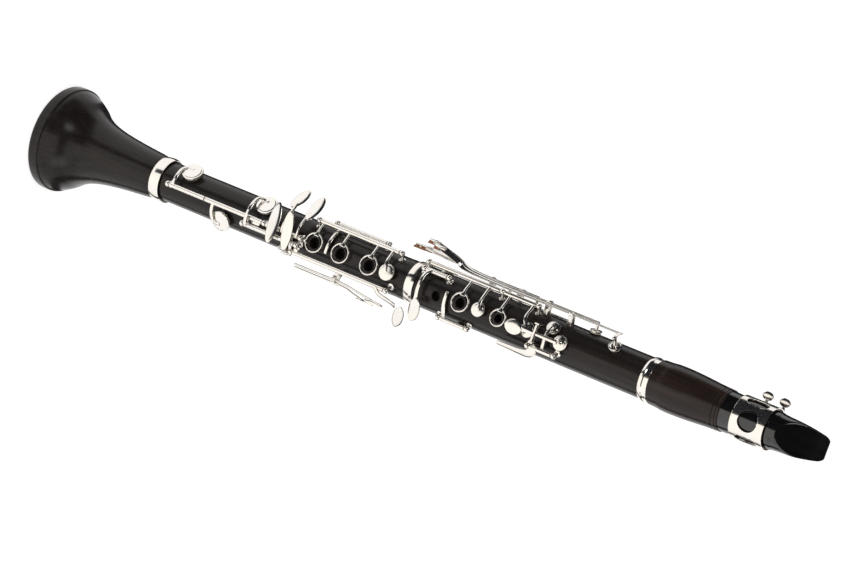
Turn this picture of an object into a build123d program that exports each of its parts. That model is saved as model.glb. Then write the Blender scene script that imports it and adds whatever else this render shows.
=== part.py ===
from build123d import *
from math import cos, radians, sin
import os

# Soprano clarinet, standing on its bell. +Z runs up the bore to the mouthpiece, -Y is the front with
# the rings, -X is the player's right and +X the player's left. Lengths are in millimetres. A place on
# the tube is given as (r, th, z): th is in degrees from the front and grows towards the player's left.

# Overall lengths of the joints
BELL_H = 105.3
LOWER_H = 230.9
UPPER_H = 191.2
BARREL_H = 64.3
MOUTH_H = 73.5
# Levels where the joints meet
Z_LOW = BELL_H
Z_UP = Z_LOW + LOWER_H
Z_BARREL = Z_UP + UPPER_H
Z_MOUTH = Z_BARREL + BARREL_H
Z_TIP = Z_MOUTH + MOUTH_H

# Tube radii
BORE = 7.4
R_RIM = 40.0
R_LOW = 14.8
R_UP = 15.2
R_BARREL = 17.2
R_BARREL_END = 15.1
R_MOUTH = 14.5
R_RING = 16.1
RING_H = 7.2
RING_T = 1.1
TENON_R = 11.4
TENON_H = 15.0
CORK_T = 0.9

# Keywork sections and named clearances
FIT = 0.05
GAP = 0.4
ROD_R = 0.85
TUBE_R = 1.75
POST_R = 2.1
POST_W = 3.0
STEM_R = 1.1
STEM_IN = 3.0
FLANGE_R = 2.6
FLANGE_T = 0.7
ARM_T = 1.4
PAD_T = 1.5
CUP_T = 1.1
CUP_WALL = 0.5
RING_KEY_T = 1.2
CHIMNEY_UP = 1.6
SEAT_UP = 0.35
# How far the open keys stand off at rest, in degrees about their hinges
OPEN_BIG = 8.0
OPEN_SHARP = 6.3
OPEN_RING = 4.1

os.makedirs("parts", exist_ok=True)


def place(r, th, z):
    return Vector(r * sin(radians(th)), -r * cos(radians(th)), z)


def out_plane(r, th, z):
    """Plane whose normal points out of the tube, with its x axis up the bore."""
    return Plane(place(r, th, z), x_dir=(0, 0, 1), z_dir=tuple(place(1, th, 0)))


def save(name, *solids):
    """Write one node; several separate solids become one group."""
    flat = [s for piece in solids for s in piece.solids()]
    export_step(flat[0] if len(flat) == 1 else Compound(flat), f"parts/{name}.step")


def turned(points):
    """Solid turned about the bore from (radius, z) points joined by straight lines."""
    outline = Polyline(*[(r, 0, z) for r, z in points], close=True)
    return revolve(make_face(outline), Axis.Z)


def disc(r0, r1, th, z, radius, bore=0):
    """Round disc on a radial line, from distance r0 to r1 off the bore."""
    lower = out_plane(r0, th, z)
    body = extrude(lower * Circle(radius), r1 - r0)
    return body - extrude(lower * Circle(bore), r1 - r0) if bore else body


def along(r, th, z0, z1, radius, bore=0):
    """Round bar or tube parallel to the bore."""
    body = Pos(place(r, th, z0)) * Cylinder(radius, z1 - z0, align=(Align.CENTER, Align.CENTER, Align.MIN))
    if bore:
        body -= Pos(place(r, th, z0)) * Cylinder(bore, z1 - z0, align=(Align.CENTER, Align.CENTER, Align.MIN))
    return body


def band(r0, r1, th0, th1, z0, z1):
    """Arm that wraps round the tube between two radii, two angles and two levels."""
    mid = (th0 + th1) / 2
    flat = [place(r, th, 0) for r, th in ((r1, th0), (r1, mid), (r1, th1), (r0, th1), (r0, mid), (r0, th0))]
    edges = [ThreePointArc(*flat[:3]), Line(flat[2], flat[3]), ThreePointArc(*flat[3:]),
        Line(flat[5], flat[0])]
    return Pos(0, 0, z0) * extrude(make_face(edges), z1 - z0, dir=(0, 0, 1))


def bar(points, th, width):
    """Flat lever lying over one angle, thickened from (r, z) centre points by ARM_T."""
    side = Plane(place(0, th, 0), x_dir=tuple(place(1, th, 0)), z_dir=tuple(place(1, th + 90, 0)))
    up = 1 if side.y_dir.Z > 0 else -1
    low = [(r - ARM_T / 2, up * z) for r, z in points]
    high = [(r + ARM_T / 2, up * z) for r, z in reversed(points)]
    face = side * make_face(Polyline(*low, *high, close=True))
    return extrude(face, width / 2, both=True)


def leaf(r, th, z, length, width, tilt=0.0, thick=1.5, swing=0.0):
    """Long rounded finger plate; length runs round the tube, tilt and swing turn it in degrees."""
    plane = out_plane(r, th, z)
    shape = extrude(RectangleRounded(length, width, 0.49 * min(length, width)), thick)
    return plane.location * Location((0, 0, 0), (tilt, 0, 90 + swing)) * shape


def cup(r_seat, th, z, radius):
    """Domed pad cup as a shell, open on the tone-hole side."""
    top = r_seat + PAD_T + CUP_T
    shell = disc(r_seat + PAD_T / 2, top, th, z, radius)
    shell = fillet(shell.edges().filter_by(GeomType.CIRCLE).sort_by_distance(place(top + 5, th, z))[0], 0.8)
    return shell - disc(r_seat, r_seat + PAD_T, th, z, radius - CUP_WALL)


def pad(r_seat, th, z, radius):
    return disc(r_seat, r_seat + PAD_T, th, z, radius - CUP_WALL)


def post(r, th, z, body_r):
    """Ball post: stem sunk in the wood, flange on it, head bored for the hinge rod."""
    foot = disc(body_r - STEM_IN, body_r + FLANGE_T, th, z, STEM_R) + disc(body_r, body_r + FLANGE_T, th, z,
        FLANGE_R)
    foot += disc(body_r, r - 1.3, th, z, 1.25)
    head_r, half, bevel, bore = POST_R + 0.2, POST_W / 2, 0.7, ROD_R + FIT / 2
    outline = [(bore, -half), (head_r - bevel, -half), (head_r, bevel - half), (head_r, half - bevel),
        (head_r - bevel, half), (bore, half)]
    return foot + Pos(place(r, th, z)) * Rot(0, 0, th - 90) * turned(outline)


def socket_hole(r, th, z, body_r):
    """What a post takes out of the wood: a blind hole and a flat spot for its flange."""
    return disc(body_r - STEM_IN - 0.5, body_r + 2, th, z, STEM_R + FIT) + disc(body_r, body_r + 2, th, z,
        FLANGE_R + FIT)


def ear_pair(r, th, z, body_r, half):
    """Two ears that carry a cross pin at distance r off the bore; half is the free half width."""
    ears = []
    for side in (-1, 1):
        shift = place(side * (half + GAP + 0.5), th + 90, 0)
        low = out_plane(body_r - STEM_IN, th, z)
        ear = extrude(Plane(low.origin + shift, low.x_dir, low.z_dir) * RectangleRounded(3.4, 1.0, 0.3),
            r + 1.7 - body_r + STEM_IN)
        ears.append(ear - cross_pin(r, th, z, half + 4, ROD_R - FIT))
    return ears


def cross_pin(r, th, z, half, radius):
    """Pin square to the bore and to the radial line."""
    return extrude(Plane(place(r, th, z), x_dir=(0, 0, 1),
        z_dir=tuple(place(1, th + 90, 0))) * Circle(radius), half, both=True)


# Hinge lines parallel to the bore: (r, th)
A_FRONT = (19.8, 1.0)
A_SHARP = (20.3, 18.0)
A_LEVER = (21.5, 34.0)
A_RH = (20.2, -54.0)
A_RH_SLIVER = (18.9, -76.0)
A_LH = (21.0, -60.0)
A_CG = (18.9, -44.0)
A_LH_SLIVER = (18.9, 56.0)
A_GS = (20.4, 27.0)
A_THUMB = (19.6, -135.0)

# Posts (r, th, z of the middle)
LOWER_POSTS = [
    (*A_FRONT, 116.0), (*A_FRONT, 205.5), (*A_FRONT, 238.4),
    (*A_SHARP, 187.4), (*A_SHARP, 236.6),
    (*A_LEVER, 233.6), (*A_LEVER, 318.1),
    (*A_RH, 243.8), (*A_RH, 317.2),
    (*A_RH_SLIVER, 254.5), (*A_RH_SLIVER, 300.5),
]
UPPER_POSTS = [
    (*A_LH, 339.4), (*A_LH, 402.9), (*A_LH, 433.9),
    (*A_CG, 339.4), (*A_CG, 361.0),
    (*A_LH_SLIVER, 361.0), (*A_LH_SLIVER, 386.0),
    (*A_GS, 439.5), (*A_GS, 461.5),
    (*A_THUMB, 416.0), (*A_THUMB, 448.0),
]
# Cross pins (r, th, z, half width of the lever between the ears)
LOWER_EARS = [(22.0, 60.0, 272.0, 1.5), (22.0, 82.0, 268.0, 1.5)]
TRILL = [(-104.5, 385.0, 319.3, 26.0, 400.0), (-93.0, 411.0, 327.5, 26.0, 425.0),
         (-81.5, 437.0, 335.5, 33.0, 478.0), (-70.0, 459.0, 344.5, 33.0, 500.0)]
R_TRILL = 22.7
TRILL_HALF = 1.3
A_PIN = (22.8, -2.0, 444.0, 6.0)
REG_PIN = (20.6, 180.0, 477.0, 1.8)
UPPER_EARS = [(R_TRILL, th, z, TRILL_HALF) for th, z, *_ in TRILL] + [A_PIN, REG_PIN]

# Tone holes: (th, z, hole radius, chimney radius); a chimney stands CHIMNEY_UP off the tube
LOWER_RING_HOLES = [(0.4, 248.6, 4.0, 5.3), (0.4, 271.9, 4.0, 5.3), (0.4, 297.4, 4.0, 5.3)]
UPPER_RING_HOLES = [(-0.8, 377.5, 3.6, 4.9), (-0.9, 410.0, 3.0, 4.2), (180.0, 425.0, 3.4, 4.3)]
PLAIN_HOLE = (7.5, 356.3, 3.6)
# Pads: th, z, cup radius
PAD_EB = (-50.0, 128.3, 8.0)
PAD_FC = (41.0, 166.0, 8.2)
PAD_FS = (-43.0, 199.0, 8.0)
PAD_AE = (62.0, 221.0, 5.6)
PAD_RH = (-1.0, 313.8, 6.2)
PAD_RH_SLIVER = (-100.0, 285.0, 4.6)
PAD_CG = (-86.0, 352.0, 4.8)
PAD_LH2 = (-1.2, 393.5, 5.3)
PAD_LH1 = (-1.2, 435.8, 5.5)
PAD_LH_SLIVER = (80.0, 378.0, 4.6)
PAD_A = (-3.0, 462.4, 5.5)
PAD_GS = (-31.5, 452.3, 5.2)
PAD_THUMB = (-168.0, 441.0, 4.4)
PAD_REG = (180.0, 503.0, 3.8)
PADS_TRILL = [(TRILL[0][0], 400.0, 4.2), (TRILL[1][0], 425.0, 4.2), (TRILL[2][0], 478.0, 4.4),
    (-49.0, 500.0, 5.0)]
LOWER_PADS = [PAD_EB, PAD_FC, PAD_FS, PAD_AE, PAD_RH, PAD_RH_SLIVER]
UPPER_PADS = [PAD_CG, PAD_LH2, PAD_LH1, PAD_LH_SLIVER, PAD_A, PAD_GS, PAD_THUMB, PAD_REG, *PADS_TRILL]


def drill(wood, body_r, posts, ears, ring_holes, pads, extra=()):
    """Cut sockets, ear slots and tone holes, and leave a raised seat round each tone hole."""
    for th, z, hole, chimney in ring_holes:
        wood += disc(body_r - 3, body_r + CHIMNEY_UP, th, z, chimney)
    for th, z, radius in pads:
        wood += disc(body_r - 3, body_r + SEAT_UP, th, z, radius - 1.4)
    for r, th, z in posts:
        wood -= socket_hole(r, th, z, body_r)
    for r, th, z, half in ears:
        for side in (-1, 1):
            low = out_plane(body_r - STEM_IN, th, z)
            shift = place(side * (half + GAP + 0.5), th + 90, 0)
            wood -= extrude(Plane(low.origin + shift, low.x_dir, low.z_dir) * Rectangle(3.5, 1.1),
                STEM_IN + 2)
    for th, z, hole, *_ in [*ring_holes, *extra]:
        wood -= disc(BORE - 2, body_r + 4, th, z, hole)
    for th, z, radius in pads:
        wood -= disc(BORE - 2, body_r + 4, th, z, radius * 0.55)
    return wood


# Bell: wall between the outer flare and the inner flare
BELL_OUT = [(40.0, 0), (40.4, 5), (40.0, 9), (38.0, 14), (34.0, 20), (28.0, 28), (24.0, 38), (21.0, 52),
    (18.7, 70), (16.9, 90)]
BELL_WALL = 3.2
BELL_RING_H = 8.8
BELL_RING_R = 16.8


def make_bell():
    z_ring = Z_LOW - BELL_RING_H
    outer = Spline(*[(r, 0, z) for r, z in BELL_OUT], (BELL_RING_R - RING_T, 0, z_ring))
    socket_r = TENON_R + CORK_T + FIT
    z_floor = Z_LOW - TENON_H - GAP
    inner_pts = [(BORE + 3.4, 0, z_floor)] + [(r - BELL_WALL - 1.2 * (r - 17) / 23, 0, z) for r,
        z in reversed(BELL_OUT[2:8])]
    inner = Spline(*inner_pts, (R_RIM - 2.6, 0, 0))
    top = [(BELL_RING_R - RING_T, 0, z_ring), (BELL_RING_R - RING_T, 0, Z_LOW), (socket_r, 0, Z_LOW),
        (socket_r, 0, z_floor), (BORE + 3.4, 0, z_floor)]
    face = make_face([outer, Polyline(*top), inner, Line((R_RIM - 2.6, 0, 0), (R_RIM, 0, 0))])
    save("bell", revolve(face, Axis.Z))
    z_mid = (z_ring + Z_LOW) / 2
    ring = turned([(BELL_RING_R - RING_T + FIT, z_ring), (BELL_RING_R - 0.3, z_ring),
        (BELL_RING_R + 0.2, z_mid), (BELL_RING_R - 0.3, Z_LOW), (BELL_RING_R - RING_T + FIT, Z_LOW)])
    save("bell_ring", ring)


def tenon_cork(z_end, down=True):
    z0 = z_end - TENON_H + 3 if down else z_end + 3
    return turned([(TENON_R + FIT, z0), (TENON_R + CORK_T, z0), (TENON_R + CORK_T, z0 + TENON_H - 6),
        (TENON_R + FIT, z0 + TENON_H - 6)])


def tube_body(z0, z1, body_r, socket_top):
    """One wooden joint with a tenon below and a socket or a tenon above."""
    z_tenon = z0 - TENON_H
    groove = [(TENON_R + CORK_T - 0.3, z0), (TENON_R + CORK_T - 0.3, z0 - 2.5), (TENON_R, z0 - 2.5),
        (TENON_R, z_tenon)]
    if socket_top:
        z_ring = z1 - RING_H
        socket_r = TENON_R + CORK_T + FIT
        z_floor = z1 - TENON_H - GAP
        top = [(body_r, z_ring - 8), (R_RING - RING_T, z_ring - 1), (R_RING - RING_T, z1), (socket_r, z1),
            (socket_r, z_floor), (BORE, z_floor)]
    else:
        z_top = z1 + TENON_H
        top = [(body_r, z1), (TENON_R + CORK_T - 0.3, z1), (TENON_R + CORK_T - 0.3, z1 + 2.5),
            (TENON_R, z1 + 2.5), (TENON_R, z_top), (BORE, z_top)]
    return turned([(BORE, z_tenon), *reversed(groove[2:]), *reversed(groove[:2]), (body_r, z0), *top])


def make_joints():
    lower = tube_body(Z_LOW, Z_UP, R_LOW, True)
    save("lower_joint_body", drill(lower, R_LOW, LOWER_POSTS, LOWER_EARS, LOWER_RING_HOLES, LOWER_PADS))
    z_ring = Z_UP - RING_H
    save("lower_joint_ring", turned([(R_RING - RING_T + FIT, z_ring), (R_RING - 0.3, z_ring),
        (R_RING, z_ring + 1), (R_RING, Z_UP - 1), (R_RING - 0.3, Z_UP), (R_RING - RING_T + FIT, Z_UP)]))
    upper = tube_body(Z_UP, Z_BARREL, R_UP, False)
    save("upper_joint_body", drill(upper, R_UP, UPPER_POSTS, UPPER_EARS, UPPER_RING_HOLES, UPPER_PADS,
        [PLAIN_HOLE]))
    save("tenon_corks", tenon_cork(Z_LOW), tenon_cork(Z_UP), tenon_cork(Z_BARREL, False), tenon_cork(Z_MOUTH))


def make_barrel():
    socket_r = TENON_R + CORK_T + FIT
    z_floor = Z_BARREL + TENON_H + GAP
    z_ceiling = Z_MOUTH - TENON_H - GAP
    z_ring = Z_BARREL + RING_H
    rim = R_RING - RING_T
    outline = [(socket_r, Z_BARREL), (rim, Z_BARREL), (rim, z_ring), (R_RING + 0.3, z_ring + 5),
        (R_BARREL, Z_BARREL + 23), (R_BARREL - 0.2, Z_BARREL + 34),
               (R_BARREL_END + 0.4, Z_MOUTH - 6), (R_BARREL_END, Z_MOUTH), (socket_r, Z_MOUTH),
                   (socket_r, z_ceiling), (BORE, z_ceiling), (BORE, z_floor), (socket_r, z_floor)]
    save("barrel", turned(outline))
    save("barrel_ring", turned([(rim + FIT, Z_BARREL), (R_RING, Z_BARREL), (R_RING + 0.2, Z_BARREL + 2),
        (R_RING - 0.2, z_ring), (rim + FIT, z_ring)]))


# Mouthpiece: table and reed face +Y, the sloping beak faces the front
TABLE_Y = 10.6
BEAK_Z = Z_TIP - 30.5
TIP_T = 1.0
REED_T = 2.6
REED_W = 12.6
REED_L = 66.0
LIG_Z0 = Z_MOUTH + 9.5
LIG_H = 26.0
LIG_T = 0.8


def mouth_radius(z):
    return R_MOUTH - (z - Z_MOUTH) * 2.2 / MOUTH_H


def make_mouthpiece():
    z_low = Z_MOUTH - TENON_H
    shell = turned([(BORE, z_low), (TENON_R, z_low), (TENON_R, Z_MOUTH - 2.5),
        (TENON_R + CORK_T - 0.3, Z_MOUTH - 2.5), (TENON_R + CORK_T - 0.3, Z_MOUTH),
                    (mouth_radius(Z_MOUTH), Z_MOUTH), (mouth_radius(Z_TIP), Z_TIP), (0, Z_TIP),
                        (0, Z_TIP - 14), (BORE - 1, Z_TIP - 34), (BORE, Z_MOUTH)])
    table = Box(60, 20, MOUTH_H + 1, align=(Align.CENTER, Align.MIN, Align.MIN))
    shell -= Pos(0, TABLE_Y, Z_MOUTH + 6) * table
    beak = Polyline((0, -20, BEAK_Z), (0, -mouth_radius(BEAK_Z), BEAK_Z), (0, TABLE_Y - TIP_T, Z_TIP),
        (0, TABLE_Y - TIP_T, Z_TIP + 5), (0, -20, Z_TIP + 5), close=True)
    shell -= extrude(make_face(beak), 30, both=True)
    window = Pos(0, TABLE_Y + 1, Z_TIP - 33) * Box(8.5, 14, 31, align=(Align.CENTER, Align.MAX, Align.MIN))
    side_cut = [Pos(side * (11.2 + 5), 0, Z_TIP - 0.5) * Rot(0, side * -7, 0) * Box(10, 60,
        44) for side in (-1, 1)]
    shell -= window
    for cut in side_cut:
        shell -= cut
    save("mouthpiece", shell)
    z0 = Z_TIP - REED_L - 0.4
    side = Polyline((0, TABLE_Y + FIT, z0), (0, TABLE_Y + REED_T, z0), (0, TABLE_Y + REED_T, z0 + 30),
        (0, TABLE_Y + 0.35, z0 + REED_L), (0, TABLE_Y + FIT, z0 + REED_L), close=True)
    save("reed", extrude(make_face(side), REED_W / 2, both=True))


LIG_R = R_MOUTH + 0.25
LIG_SCREWS = (LIG_Z0 + 6.5, LIG_Z0 + 20.0)
LUG_Y = 17.2
LUG_HALF = 3.0


def make_ligature():
    body = Pos(0, 0, LIG_Z0) * (Cylinder(LIG_R + LIG_T, LIG_H,
        align=(Align.CENTER, Align.CENTER, Align.MIN)) - Cylinder(LIG_R, LIG_H,
        align=(Align.CENTER, Align.CENTER, Align.MIN)))
    body -= disc(5, 25, 0, LIG_Z0 + LIG_H / 2, 7.6)
    for side in (-1, 1):
        body -= disc(5, 25, side * 58, LIG_Z0 + LIG_H / 2, 3.4)
    body -= Pos(0, 10, LIG_Z0) * Box(3.0, 20, LIG_H, align=(Align.CENTER, Align.MIN, Align.MIN))
    for z in LIG_SCREWS:
        for side in (-1, 1):
            lug = Pos(side * (1.5 + LUG_HALF / 2), 0, z) * Box(LUG_HALF, 2 * LUG_Y + 4, 5.2)
            lug -= Pos(0, -30, z) * Box(20, 60 + 2 * (LIG_R + 0.2), 20)
            body += lug
    for z in LIG_SCREWS:
        body -= Pos(0, LUG_Y, z) * Rot(0, 90, 0) * Cylinder(1.05, 20)
    save("ligature_band", body)
    for index, z in enumerate(LIG_SCREWS):
        shank = Pos(-4.8, LUG_Y, z) * Rot(0, 90, 0) * Cylinder(1.0, 19.6)
        neck = Pos(-11.0, LUG_Y, z) * Rot(0, 90, 0) * Cylinder(1.8, 8.6)
        head = Pos(-18.4, LUG_Y, z) * Box(6.6, 1.6, 8.6)
        save(f"ligature_screw_{index + 1}", shank + neck + fillet(head.edges().filter_by(Axis.Y), 2.2))


def seat(body_r):
    """Distance off the bore of a closed pad's face."""
    return body_r + SEAT_UP + 0.08


def swung(shape, axis, angle):
    """Turn a shape about a hinge line parallel to the bore."""
    return shape.rotate(Axis(place(*axis, 0), (0, 0, 1)), angle)


def save_key(name, key, pad_shape, axis, z0, z1):
    """Write a key on a tube hinge and its pad; the hinge bore and the pad's seat are cut last."""
    save(name, key - along(*axis, z0, z1, ROD_R + FIT) - pad_shape)
    save(f"{name}_pad", pad_shape)


def make_ring_key(name, axis, body_r, z0, z1, rings, pad_at, arm_z, open_by):
    """Rings and a pad cup on one hinge tube; at rest the key stands open by an angle in degrees."""
    r, th = axis
    key = along(r, th, z0, z1, TUBE_R)
    r_ring = body_r + CHIMNEY_UP - RING_KEY_T + 0.1
    for ring_th, z, outer, inner in rings:
        key += swung(disc(r_ring, r_ring + RING_KEY_T, ring_th, z, outer, inner), axis, -open_by)
        r_arm = ((r_ring + RING_KEY_T) ** 2 + outer**2) ** 0.5 - 0.2
        key += band(r_arm, r_arm + ARM_T, th, ring_th - 2.8 * outer - 1, z - 1.5, z + 1.5)
    pad_th, pad_z, pad_r = pad_at
    low = seat(body_r)
    key += swung(cup(low, pad_th, pad_z, pad_r), axis, -open_by)
    r_arm = low + PAD_T + CUP_T + 0.7
    key += band(r_arm, r_arm + ARM_T, th, pad_th, *arm_z)
    save_key(name, key, swung(pad(low, pad_th, pad_z, pad_r), axis, -open_by), axis, z0 - 1, z1 + 1)


def make_lower_keys():
    r, th = A_FRONT
    z_lo, z_mid, z_hi = 116.0 + 1.5 + GAP, 205.5, 238.4 - 1.5 - GAP
    z_split = 150.8
    low = seat(R_LOW)
    r_arm = low + PAD_T + CUP_T + 1.2
    # E/B key: solid core rod through the F/C sleeve and the middle post
    core = along(r, th, z_lo - 1.5 - GAP, z_mid + 15, ROD_R)
    key = along(r, th, z_lo, z_split - GAP / 2, TUBE_R) + along(r, th, z_mid + 1.5 + GAP, 220.2,
        TUBE_R) + core
    key += band(r - 0.6, r - 0.6 + ARM_T, -54, th - 1, z_lo + 0.6, z_lo + 4.0)
    key += band(r_arm, r - 0.2, -57, -49, z_lo + 0.6, PAD_EB[1])
    key += swung(cup(low, *PAD_EB), A_FRONT, OPEN_BIG)
    key += leaf(22.2, -8.0, 214.6, 31, 9.4, swing=7) + band(r + 1.2, 23.0, -2, 4, 209.5, 219.5)
    e_b_pad = swung(pad(low, *PAD_EB), A_FRONT, OPEN_BIG)
    save("e_b_key", key - e_b_pad)
    save("e_b_key_pad", e_b_pad)
    # F/C pad key: sleeve on the same line, cup on the player's left
    key = along(r, th, z_split + GAP / 2, z_mid - 1.5 - GAP, TUBE_R) + band(r - 0.6, r - 0.6 + ARM_T,
        th + 1, 47, 157.0, 160.4)
    key += band(r_arm, r - 0.2, 41, 49, 157.0, PAD_FC[1]) + swung(cup(low, *PAD_FC), A_FRONT, -OPEN_BIG)
    key += band(r - 1.5, r + 0.4, th + 1, 11, 193.5, 202.5)
    save_key("f_c_key", key, swung(pad(low, *PAD_FC), A_FRONT, -OPEN_BIG), A_FRONT, z_split - 1, z_mid)
    # F/C finger lever, between the E/B plate and the F sharp plate
    key = along(r, th, 220.8, 226.6, TUBE_R) + band(r + 0.9, 23.0, -62, th + 2, 221.0, 223.0)
    key += leaf(24.6, -78.0, 219.0, 23, 9.4, tilt=28, swing=2) + band(22.0, 25.0, -66, -58, 218.2, 223.0)
    save("f_c_lever", key - along(r, th, 220, 228, ROD_R + FIT))
    # A flat/E flat key: closed pad on the left
    key = along(r, th, 227.2, z_hi, TUBE_R) + band(r + 0.9, 23.0, -50, th + 2, 234.4, 236.5)
    key += leaf(24.4, -64.0, 237.0, 25, 9.6, tilt=22, swing=6) + band(22.0, 24.6, -54, -46, 234.4, 239.6)
    key += band(15.7, 17.1, th + 3, 66, 227.3, 230.2) + band(15.7, 18.6, th - 1, th + 5, 227.3, 230.2)
    key += band(low + PAD_T - 0.6, low + PAD_T + 0.8, 58, 66, 224.0, 230.2) + cup(low, *PAD_AE)
    save_key("a_flat_key", key, pad(low, *PAD_AE), A_FRONT, 227, z_hi + 1)
    # F sharp/C sharp key on the second line
    r, th = A_SHARP
    key = along(r, th, 187.4 + 1.5 + GAP, 236.6 - 1.5 - GAP, TUBE_R)
    key += band(22.2, 22.2 + ARM_T, -52, th + 2, 189.4, 192.6) + band(r, 23.4, th - 3, th + 3, 189.4, 192.6)
    key += band(r_arm, 23.4, -52, -44, 189.4, 194.5) + band(r_arm, r_arm + ARM_T + 0.6, -51, -43, 190.0,
        PAD_FS[1])
    key += swung(cup(low, *PAD_FS), A_SHARP, OPEN_SHARP) + leaf(22.6, -4.0, 228.0, 29, 9.2, tilt=12, swing=4)
    key += band(r + 1.0, 24.0, th - 5, th + 2, 224.5, 233.0)
    save_key("f_sharp_key", key, swung(pad(low, *PAD_FS), A_SHARP, OPEN_SHARP), A_SHARP, 187, 237)


def make_levers():
    """The left-hand little-finger levers: one on a long rod, two rocking on cross pins."""
    r, th = A_LEVER
    z0, z1 = 233.6 + 1.5 + GAP, 318.1 - 1.5 - GAP
    key = along(r, th, z0, z1, TUBE_R, ROD_R + FIT)
    key += band(r + 1.0, r + 3.4, th - 2, th + 6, 308.0, z1) + band(r + 2.4, r + 3.8, th + 2, 52, 308.0,
        331.0)
    key += leaf(27.4, 70.0, 330.0, 24, 9.0, tilt=-26, swing=-22) + band(24.0, 28.2, 47, 53, 322.0, 331.0)
    key += band(r - 1.2, r + 0.6, th - 9, th - 2, z0, z0 + 4)
    save("left_f_sharp_lever", key - along(r, th, z0 - 1, z1 + 1, ROD_R + FIT))
    for name, (r_pin, th_pin, z_pin, half), z_touch, z_foot in (
        ("left_e_b_lever", LOWER_EARS[0], 308.0, 236.0), ("left_f_c_lever", LOWER_EARS[1], 295.5, 232.0)):
        lever = bar([(r_pin + 0.8, z_foot), (r_pin + 0.8, z_pin + 8), (r_pin + 4.0, z_touch)], th_pin,
            2 * half)
        lever += cross_pin(r_pin, th_pin, z_pin, half, 1.7)
        lever += leaf(r_pin + 3.6, th_pin + 6, z_touch, 9.5, 17, swing=8)
        save(name, lever - cross_pin(r_pin, th_pin, z_pin, half + 1, ROD_R + FIT))


def make_slivers():
    """The two crescent keys that lie between rings, each with a closed pad behind its hinge."""
    for name, axis, z0, z1, body_r, pad_at, end, z_touch in (
        ("right_sliver_key", A_RH_SLIVER, 254.5, 300.5, R_LOW, PAD_RH_SLIVER, 15.0, 258.6),
        ("left_sliver_key", A_LH_SLIVER, 361.0, 386.0, R_UP, PAD_LH_SLIVER, -15.0, 363.6)):
        r, th = axis
        turn = 1 if th > 0 else -1
        low = seat(body_r)
        z_lo, z_hi = z0 + 1.5 + GAP, z1 - 1.5 - GAP
        r_in = body_r + 1.4
        key = along(r, th, z_lo, z_hi, TUBE_R) + band(r_in, r_in + ARM_T, min(end, th), max(end, th),
            z_touch, z_touch + 3.4)
        inner = sorted((th, pad_at[0]))
        key += band(low + PAD_T + 0.2, low + PAD_T + 1.4, *inner, pad_at[1] - 1.4,
            pad_at[1] + 1.4) + cup(low, *pad_at)
        save_key(name, key, pad(low, *pad_at), axis, z_lo - 1, z_hi + 1)


def make_c_sharp():
    r, th = A_CG
    low = seat(R_UP)
    key = along(r, th, 339.4 + 1.5 + GAP, 361.0 - 1.5 - GAP, TUBE_R)
    key += band(19.2, 19.2 + ARM_T, th, 34, 341.5, 345.0) + leaf(21.4, 50.0, 342.8, 22, 9.6, tilt=-14,
        swing=-16)
    key += band(19.2, 22.6, 30, 36, 341.5, 345.0)
    key += band(low + PAD_T - 0.4, low + PAD_T + 1.0, PAD_CG[0], th, 350.6, 353.4) + cup(low, *PAD_CG)
    save_key("c_sharp_key", key, pad(low, *PAD_CG), A_CG, 339, 361)


def make_throat():
    low = seat(R_UP)
    r_pin, th, z_pin, half = A_PIN
    key = bar([(r_pin + 0.2, 427.0), (r_pin + 0.2, PAD_A[1])], th, 3.2) + cross_pin(r_pin, th, z_pin, half,
        1.7)
    key += leaf(r_pin - 0.4, th + 3, 427.0, 10.5, 14.5)
    key += disc(low + PAD_T + 0.4, r_pin, *PAD_A[:2], 1.8) + cup(low, *PAD_A)
    save("throat_a_key", key - cross_pin(r_pin, th, z_pin, half + 1, ROD_R + FIT))
    save("throat_a_key_pad", pad(low, *PAD_A))
    r, th = A_GS
    z0, z1 = 439.5 + 1.5 + GAP, 461.5 - 1.5 - GAP
    key = along(r, th, z0, z1, TUBE_R) + band(18.2, 18.2 + ARM_T, PAD_GS[0], th, 449.4, 452.2)
    key += cup(low, *PAD_GS) + disc(low + PAD_T + 0.4, 18.8, *PAD_GS[:2], 2.0)
    key += band(r + 0.6, r + 2.0, th, 40, z0, z0 + 7) + band(r + 0.6, r + 2.0, 39, 52, 413.5, z0 + 7)
    save_key("throat_g_sharp_key", key, pad(low, *PAD_GS), A_GS, z0 - 1, z1 + 1)


def make_trills():
    low = seat(R_UP)
    for index, ((th, z_pin, z_touch, r_touch, z_pad), pad_at) in enumerate(zip(TRILL, PADS_TRILL)):
        bend = min(z_pin - 8, 376.0)
        lever = bar([(r_touch, z_touch), (R_TRILL + 0.6, bend), (R_TRILL + 0.6, z_pad)], th, 2 * TRILL_HALF)
        lever += cross_pin(R_TRILL, th, z_pin, TRILL_HALF, 1.7)
        if pad_at[0] != th:
            lever += band(R_TRILL - 0.1, R_TRILL + 1.3, th, pad_at[0], z_pad - 3, z_pad)
        lever += disc(low + PAD_T + 0.4, R_TRILL + 0.6, *pad_at[:2], 1.5) + cup(low, *pad_at)
        lever += leaf(r_touch - 0.7, th, z_touch, 4.4, 10.0)
        save(f"side_key_{index + 1}", lever - cross_pin(R_TRILL, th, z_pin, 4, ROD_R + FIT))
    for index, pad_at in enumerate(PADS_TRILL):
        save(f"side_key_{index + 1}_pad", pad(low, *pad_at))


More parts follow.
